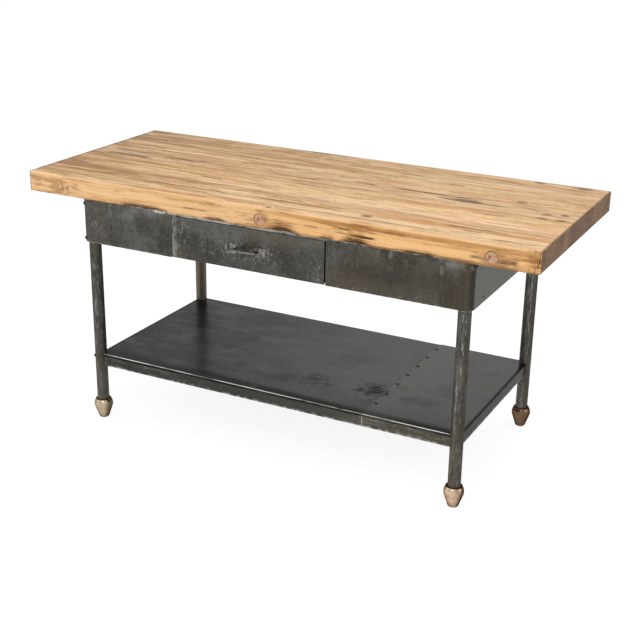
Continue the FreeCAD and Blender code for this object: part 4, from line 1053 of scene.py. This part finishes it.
def rod_steel():
    """Rod of the pull: handled bright underneath, duller above."""
    steel = Steel("rod_steel", (7, 1, 2))
    low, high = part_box("pull_rod")
    middle = (low.z + high.z) / 2
    handled = steel.z.step(middle + 2 * MM, middle - 1 * MM)
    steel.wear(STEEL_LIGHT, 0.4)
    steel.wear(STEEL_PALE, handled, steel.grime.step(0.34, 0.56), 0.7)
    return steel.complete(rough=0.32)


def inner_steel():
    """Oiled dark sheet of the drawer bay and tray."""
    steel = Steel("inner_steel", (0, 9, 3))
    steel.rub(0.25, 0.8)
    return steel.complete(rough=0.5)


def plain_steel():
    """Bright steel of the hidden rods, nuts and screws, lightly rusted."""
    steel = Look("plain_steel")
    rust = steel.texture((60,) * 3, 5, 0.65)
    return steel.finish(
        base_color=steel.mix(rust.step(0.5, 0.75), PLAIN_PALE, PLAIN_RUST),
        roughness=0.32 + rust * 0.3,
        metallic=0.9,
        normal=steel.bump(rust, 0.1 * MM),
    )


def weld_steel():
    """Weld metal, with bright painted glints over its ripples."""
    steel = Look("weld_steel")
    # bright flecks are painted glints on the weld
    beads = steel.texture((260,) * 3, 3, 0.6)
    return steel.finish(
        base_color=steel.mix(beads.step(0.42, 0.62), STEEL_MID, BRIGHT),
        roughness=0.34,
        metallic=0.9,
        normal=steel.bump(beads, 0.6 * MM),
    )


# Cast feet
BRONZE_PALE = srgb(218, 189, 160)
BRONZE_MID = srgb(174, 145, 120)
BRONZE_LEFT = srgb(190, 182, 160)
BRONZE_PIT = srgb(120, 92, 70)
# Darker ring where the leg enters the foot: a stain with painted shade
BRONZE_SHOULDER = srgb(100, 78, 58)
BRONZE_BASE = srgb(108, 96, 74)
# Painted shade on the feet where they turn away
BRONZE_TURNED_SHADE = srgb(80, 66, 47)
BRONZE_REAR = srgb(88, 67, 52)


def bronze():
    """Cast feet: paler in front, painted shade where they turn away, darker at the shoulder and towards
    the base.
    """
    foot = Look("bronze")
    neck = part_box("leg_front_left")[0].z
    cast = foot.texture((40,) * 3, 5, 0.6)
    pits = foot.texture((190,) * 3, 3, 0.6)
    # darker ring where the leg enters the foot: a stain, with painted shade in the crease
    shoulder = (foot.z + cast * (12 * MM)).step(neck - 6 * MM, neck + 5 * MM)
    base = (foot.z + cast * (8 * MM)).step(34 * MM, 4 * MM)
    _, back, up = foot.facing()
    toward = foot.most(up, 0) * 0.5 - back
    # painted shade where the foot turns away from the front and from above
    turned_away_shade = toward.stray(cast, 0.5).step(0.92, 0.36)
    colour = foot.layered(
        BRONZE_PALE,
        (BRONZE_MID, cast.step(0.35, 0.65)),
        (BRONZE_LEFT, foot.x.step(*LEFT_HALF_X), 0.5),
        (BRONZE_PIT, pits.step(0.54, 0.72), 0.55),
        (BRONZE_SHOULDER, shoulder, 0.3),
        (BRONZE_BASE, base, 0.7),
        (BRONZE_TURNED_SHADE, turned_away_shade, 0.85),
        (BRONZE_REAR, foot.y.step(*REAR_HALF_Y), 0.88),
    )
    return foot.finish(
        base_color=colour,
        roughness=0.13 + cast * 0.16,
        metallic=0.92,
        specular_tint=BLACK_EDGE,
        normal=foot.bump(cast + pits * 0.3, 0.4 * MM),
    )


# Weld beads round the legs
WELD_STEPS = 120
WELD_SIDES = 10
WELD_RIPPLES = 26
WELD_THICKNESS, WELD_RIPPLE = 2.2 * MM, 0.7 * MM
WELD_LUMP = 0.25
WELD_OUT, WELD_DROP = 1 * MM, 0.8 * MM


def weld_beads():
    """Rings of overlapping weld ripples where the legs leave the gussets."""
    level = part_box("corner_gussets")[0].z - WELD_DROP
    vertices, faces = [], []
    for corner in ("front_left", "front_right", "rear_left", "rear_right"):
        low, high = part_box(f"leg_{corner}")
        centre = (low + high) / 2
        radius = (high.x - low.x) / 2 + WELD_OUT
        first = len(vertices)
        for step in range(WELD_STEPS):
            turn = 2 * math.pi * step / WELD_STEPS
            ripple = 0.5 + 0.5 * math.cos(turn * WELD_RIPPLES)
            uneven = noise.noise((math.cos(turn) * 4 + first, math.sin(turn) * 4, 0))
            thick = (WELD_THICKNESS + WELD_RIPPLE * ripple) * (1 + WELD_LUMP * uneven)
            for side in range(WELD_SIDES):
                angle = 2 * math.pi * side / WELD_SIDES
                out = radius + thick * math.cos(angle)
                x, y = centre.x + out * math.cos(turn), centre.y + out * math.sin(turn)
                vertices.append((x, y, level + thick * math.sin(angle)))
        faces += ring_faces(first, WELD_STEPS, WELD_SIDES, closed=True, flip=True)
    piece = add_mesh("weld_beads", vertices, faces, weld_steel())
    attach(piece, "table")
    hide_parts("leg_welds")


# Domed bolts on the left legs, into the shelf and low on the apron's corners
BOLT_RADIUS = 5 * MM
BOLT_RISE = 5 * MM
WASHER_RADIUS = 6.5 * MM
WASHER_RISE = 1 * MM
BOLT_SINK = 2 * MM
BOLT_SIDES = 24
BOLT_RINGS = 6
BOLT_CREASE = 40
SHELF_BOLT_Z = 0.243
APRON_BOLT_RISE = 11 * MM


def bolt_head(vertices, faces, seat, out):
    """Adds one domed head on a thin washer, facing out, to the lists of a mesh."""
    outline = [(WASHER_RADIUS, -BOLT_SINK), (WASHER_RADIUS, WASHER_RISE)]
    for ring in range(BOLT_RINGS):
        angle = math.pi / 2 * ring / BOLT_RINGS
        dome = (BOLT_RISE - WASHER_RISE) * math.sin(angle)
        outline.append((BOLT_RADIUS * math.cos(angle), WASHER_RISE + dome))
    first = len(vertices)
    along, up = Vector((-out.y, out.x, 0)), Vector((0, 0, 1))
    for radius, height in outline:
        for step in range(BOLT_SIDES):
            turn = 2 * math.pi * step / BOLT_SIDES
            around = math.cos(turn) * along + math.sin(turn) * up
            vertices.append(seat + height * out + radius * around)
    faces += ring_faces(first, len(outline), BOLT_SIDES)
    last = len(vertices) - BOLT_SIDES
    faces.append(tuple(range(last, last + BOLT_SIDES)))
    faces.append(tuple(range(first, first + BOLT_SIDES))[::-1])


def leg_bolts(material):
    """Bolts on the left legs and their corner plates, facing outwards across the corners."""
    vertices, faces = [], []
    for corner, toward in (("front_left", -1), ("rear_left", 1)):
        low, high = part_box(f"leg_{corner}")
        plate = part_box(f"corner_plate_{corner}")[0]
        axis = (low + high) / 2
        out = Vector((-1, toward, 0)).normalized()
        on_leg = SHELF_BOLT_Z, axis.x - low.x
        on_plate = plate.z + APRON_BOLT_RISE, axis.x - plate.x
        for level, reach in (on_leg, on_plate):
            bolt_head(vertices, faces, Vector((axis.x, axis.y, level)) + reach * out, out)
    piece = add_mesh("leg_bolts", vertices, faces, material, BOLT_CREASE)
    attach(piece, "table")


# Stage, light and camera
def add_floor():
    """A floor that looks white under soft shadows, and lights the object like a matt one."""
    half = FLOOR_SIDE / 2
    mesh = bpy.data.meshes.new("floor")
    corners = [(-half, -half, 0), (half, -half, 0), (half, half, 0), (-half, half, 0)]
    mesh.from_pydata(corners, [], [(0, 1, 2, 3)])
    graph = Graph(bpy.data.materials.new("floor"))
    matt = graph.add("BsdfDiffuse", {"Color": grey(FLOOR_MATT)})[0]
    shade = graph.add("BsdfDiffuse", {"Color": grey(FLOOR_SHADE)})[0]
    glow = graph.add("Emission", {"Color": WHITE, "Strength": FLOOR_GLOW})[0]
    seen = graph.add("AddShader", {0: shade, 1: glow})[0]
    both = graph.add("MixShader", {0: graph.seen_directly(), 1: matt, 2: seen})[0]
    graph.add("OutputMaterial", {"Surface": both})
    mesh.materials.append(graph.owner)
    add_object("floor", mesh)


def add_world():
    """White surroundings that light the object less brightly than they look."""
    graph = Graph(bpy.data.worlds.new("studio"))
    levels = {"Value": graph.seen_directly(), "To Min": WORLD_LIGHT, "To Max": 1}
    strength = graph.add("MapRange", levels)[0]
    background = graph.add("Background", {"Color": WHITE, "Strength": strength})[0]
    graph.add("OutputWorld", {"Surface": background})
    bpy.context.scene.world = graph.owner


def add_lamps():
    """Square panels of light, each turned to its point."""
    for name, (place, target, side, watts) in LAMPS.items():
        data = bpy.data.lights.new(name, "AREA")
        data.size = side
        data.energy = watts
        lamp = add_object(name, data)
        lamp.location = place
        lamp.rotation_euler = (Vector(target) - Vector(place)).to_track_quat("-Z", "Y").to_euler()


def add_camera():
    """The photograph's camera."""
    data = bpy.data.cameras.new("camera")
    data.sensor_width = SENSOR_WIDTH
    data.lens = SENSOR_WIDTH * FOCAL_PIXELS / IMAGE_SIDE
    camera = add_object("camera", data)
    turn = Matrix.Rotation(CAMERA_AZIMUTH, 4, "Z")
    tilt = Matrix.Rotation(math.pi / 2 - CAMERA_ELEVATION, 4, "X")
    roll = Matrix.Rotation(CAMERA_ROLL, 4, "Z")
    camera.matrix_world = Matrix.Translation(CAMERA_PLACE) @ turn @ tilt @ roll
    bpy.context.scene.camera = camera


for number, strip in enumerate(STRIPS, start=1):
    material = timber(number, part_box(strip))
    paint(material, strip)
    if number == 1:
        front_strip(material)
paint(plug_timber(), "top_plugs")
paint(apron_steel(), *named("corner_plate", "front_panel", "back_panel", "side_panel", "corner_gussets"))
paint(rail_steel(), "drawer_top_rail")
paint(drawer_steel(), "drawer_front")
paint(leg_steel(), *named("leg_"))
paint(shelf_steel(), *named("shelf_sheet"))
paint(worn_steel(), *named("pull_plates", "pull_rivets", "corner_screws"))
paint(rod_steel(), "pull_rod")
paint(plain_steel(), *named("tie_rod", "top_screws"))
paint(inner_steel(), *named("bay_wall", "drawer_runner", "drawer_stop", "drawer_tray", "seam_straps"))
paint(bronze(), *named("foot_"))
rivets = rivet_steel()
paint(rivets, "shelf_rivets", "side_rivets")
weld_beads()
leg_bolts(rivets)
add_floor()
add_world()
add_lamps()
add_camera()
bpy.context.scene.view_settings.view_transform = "Standard"
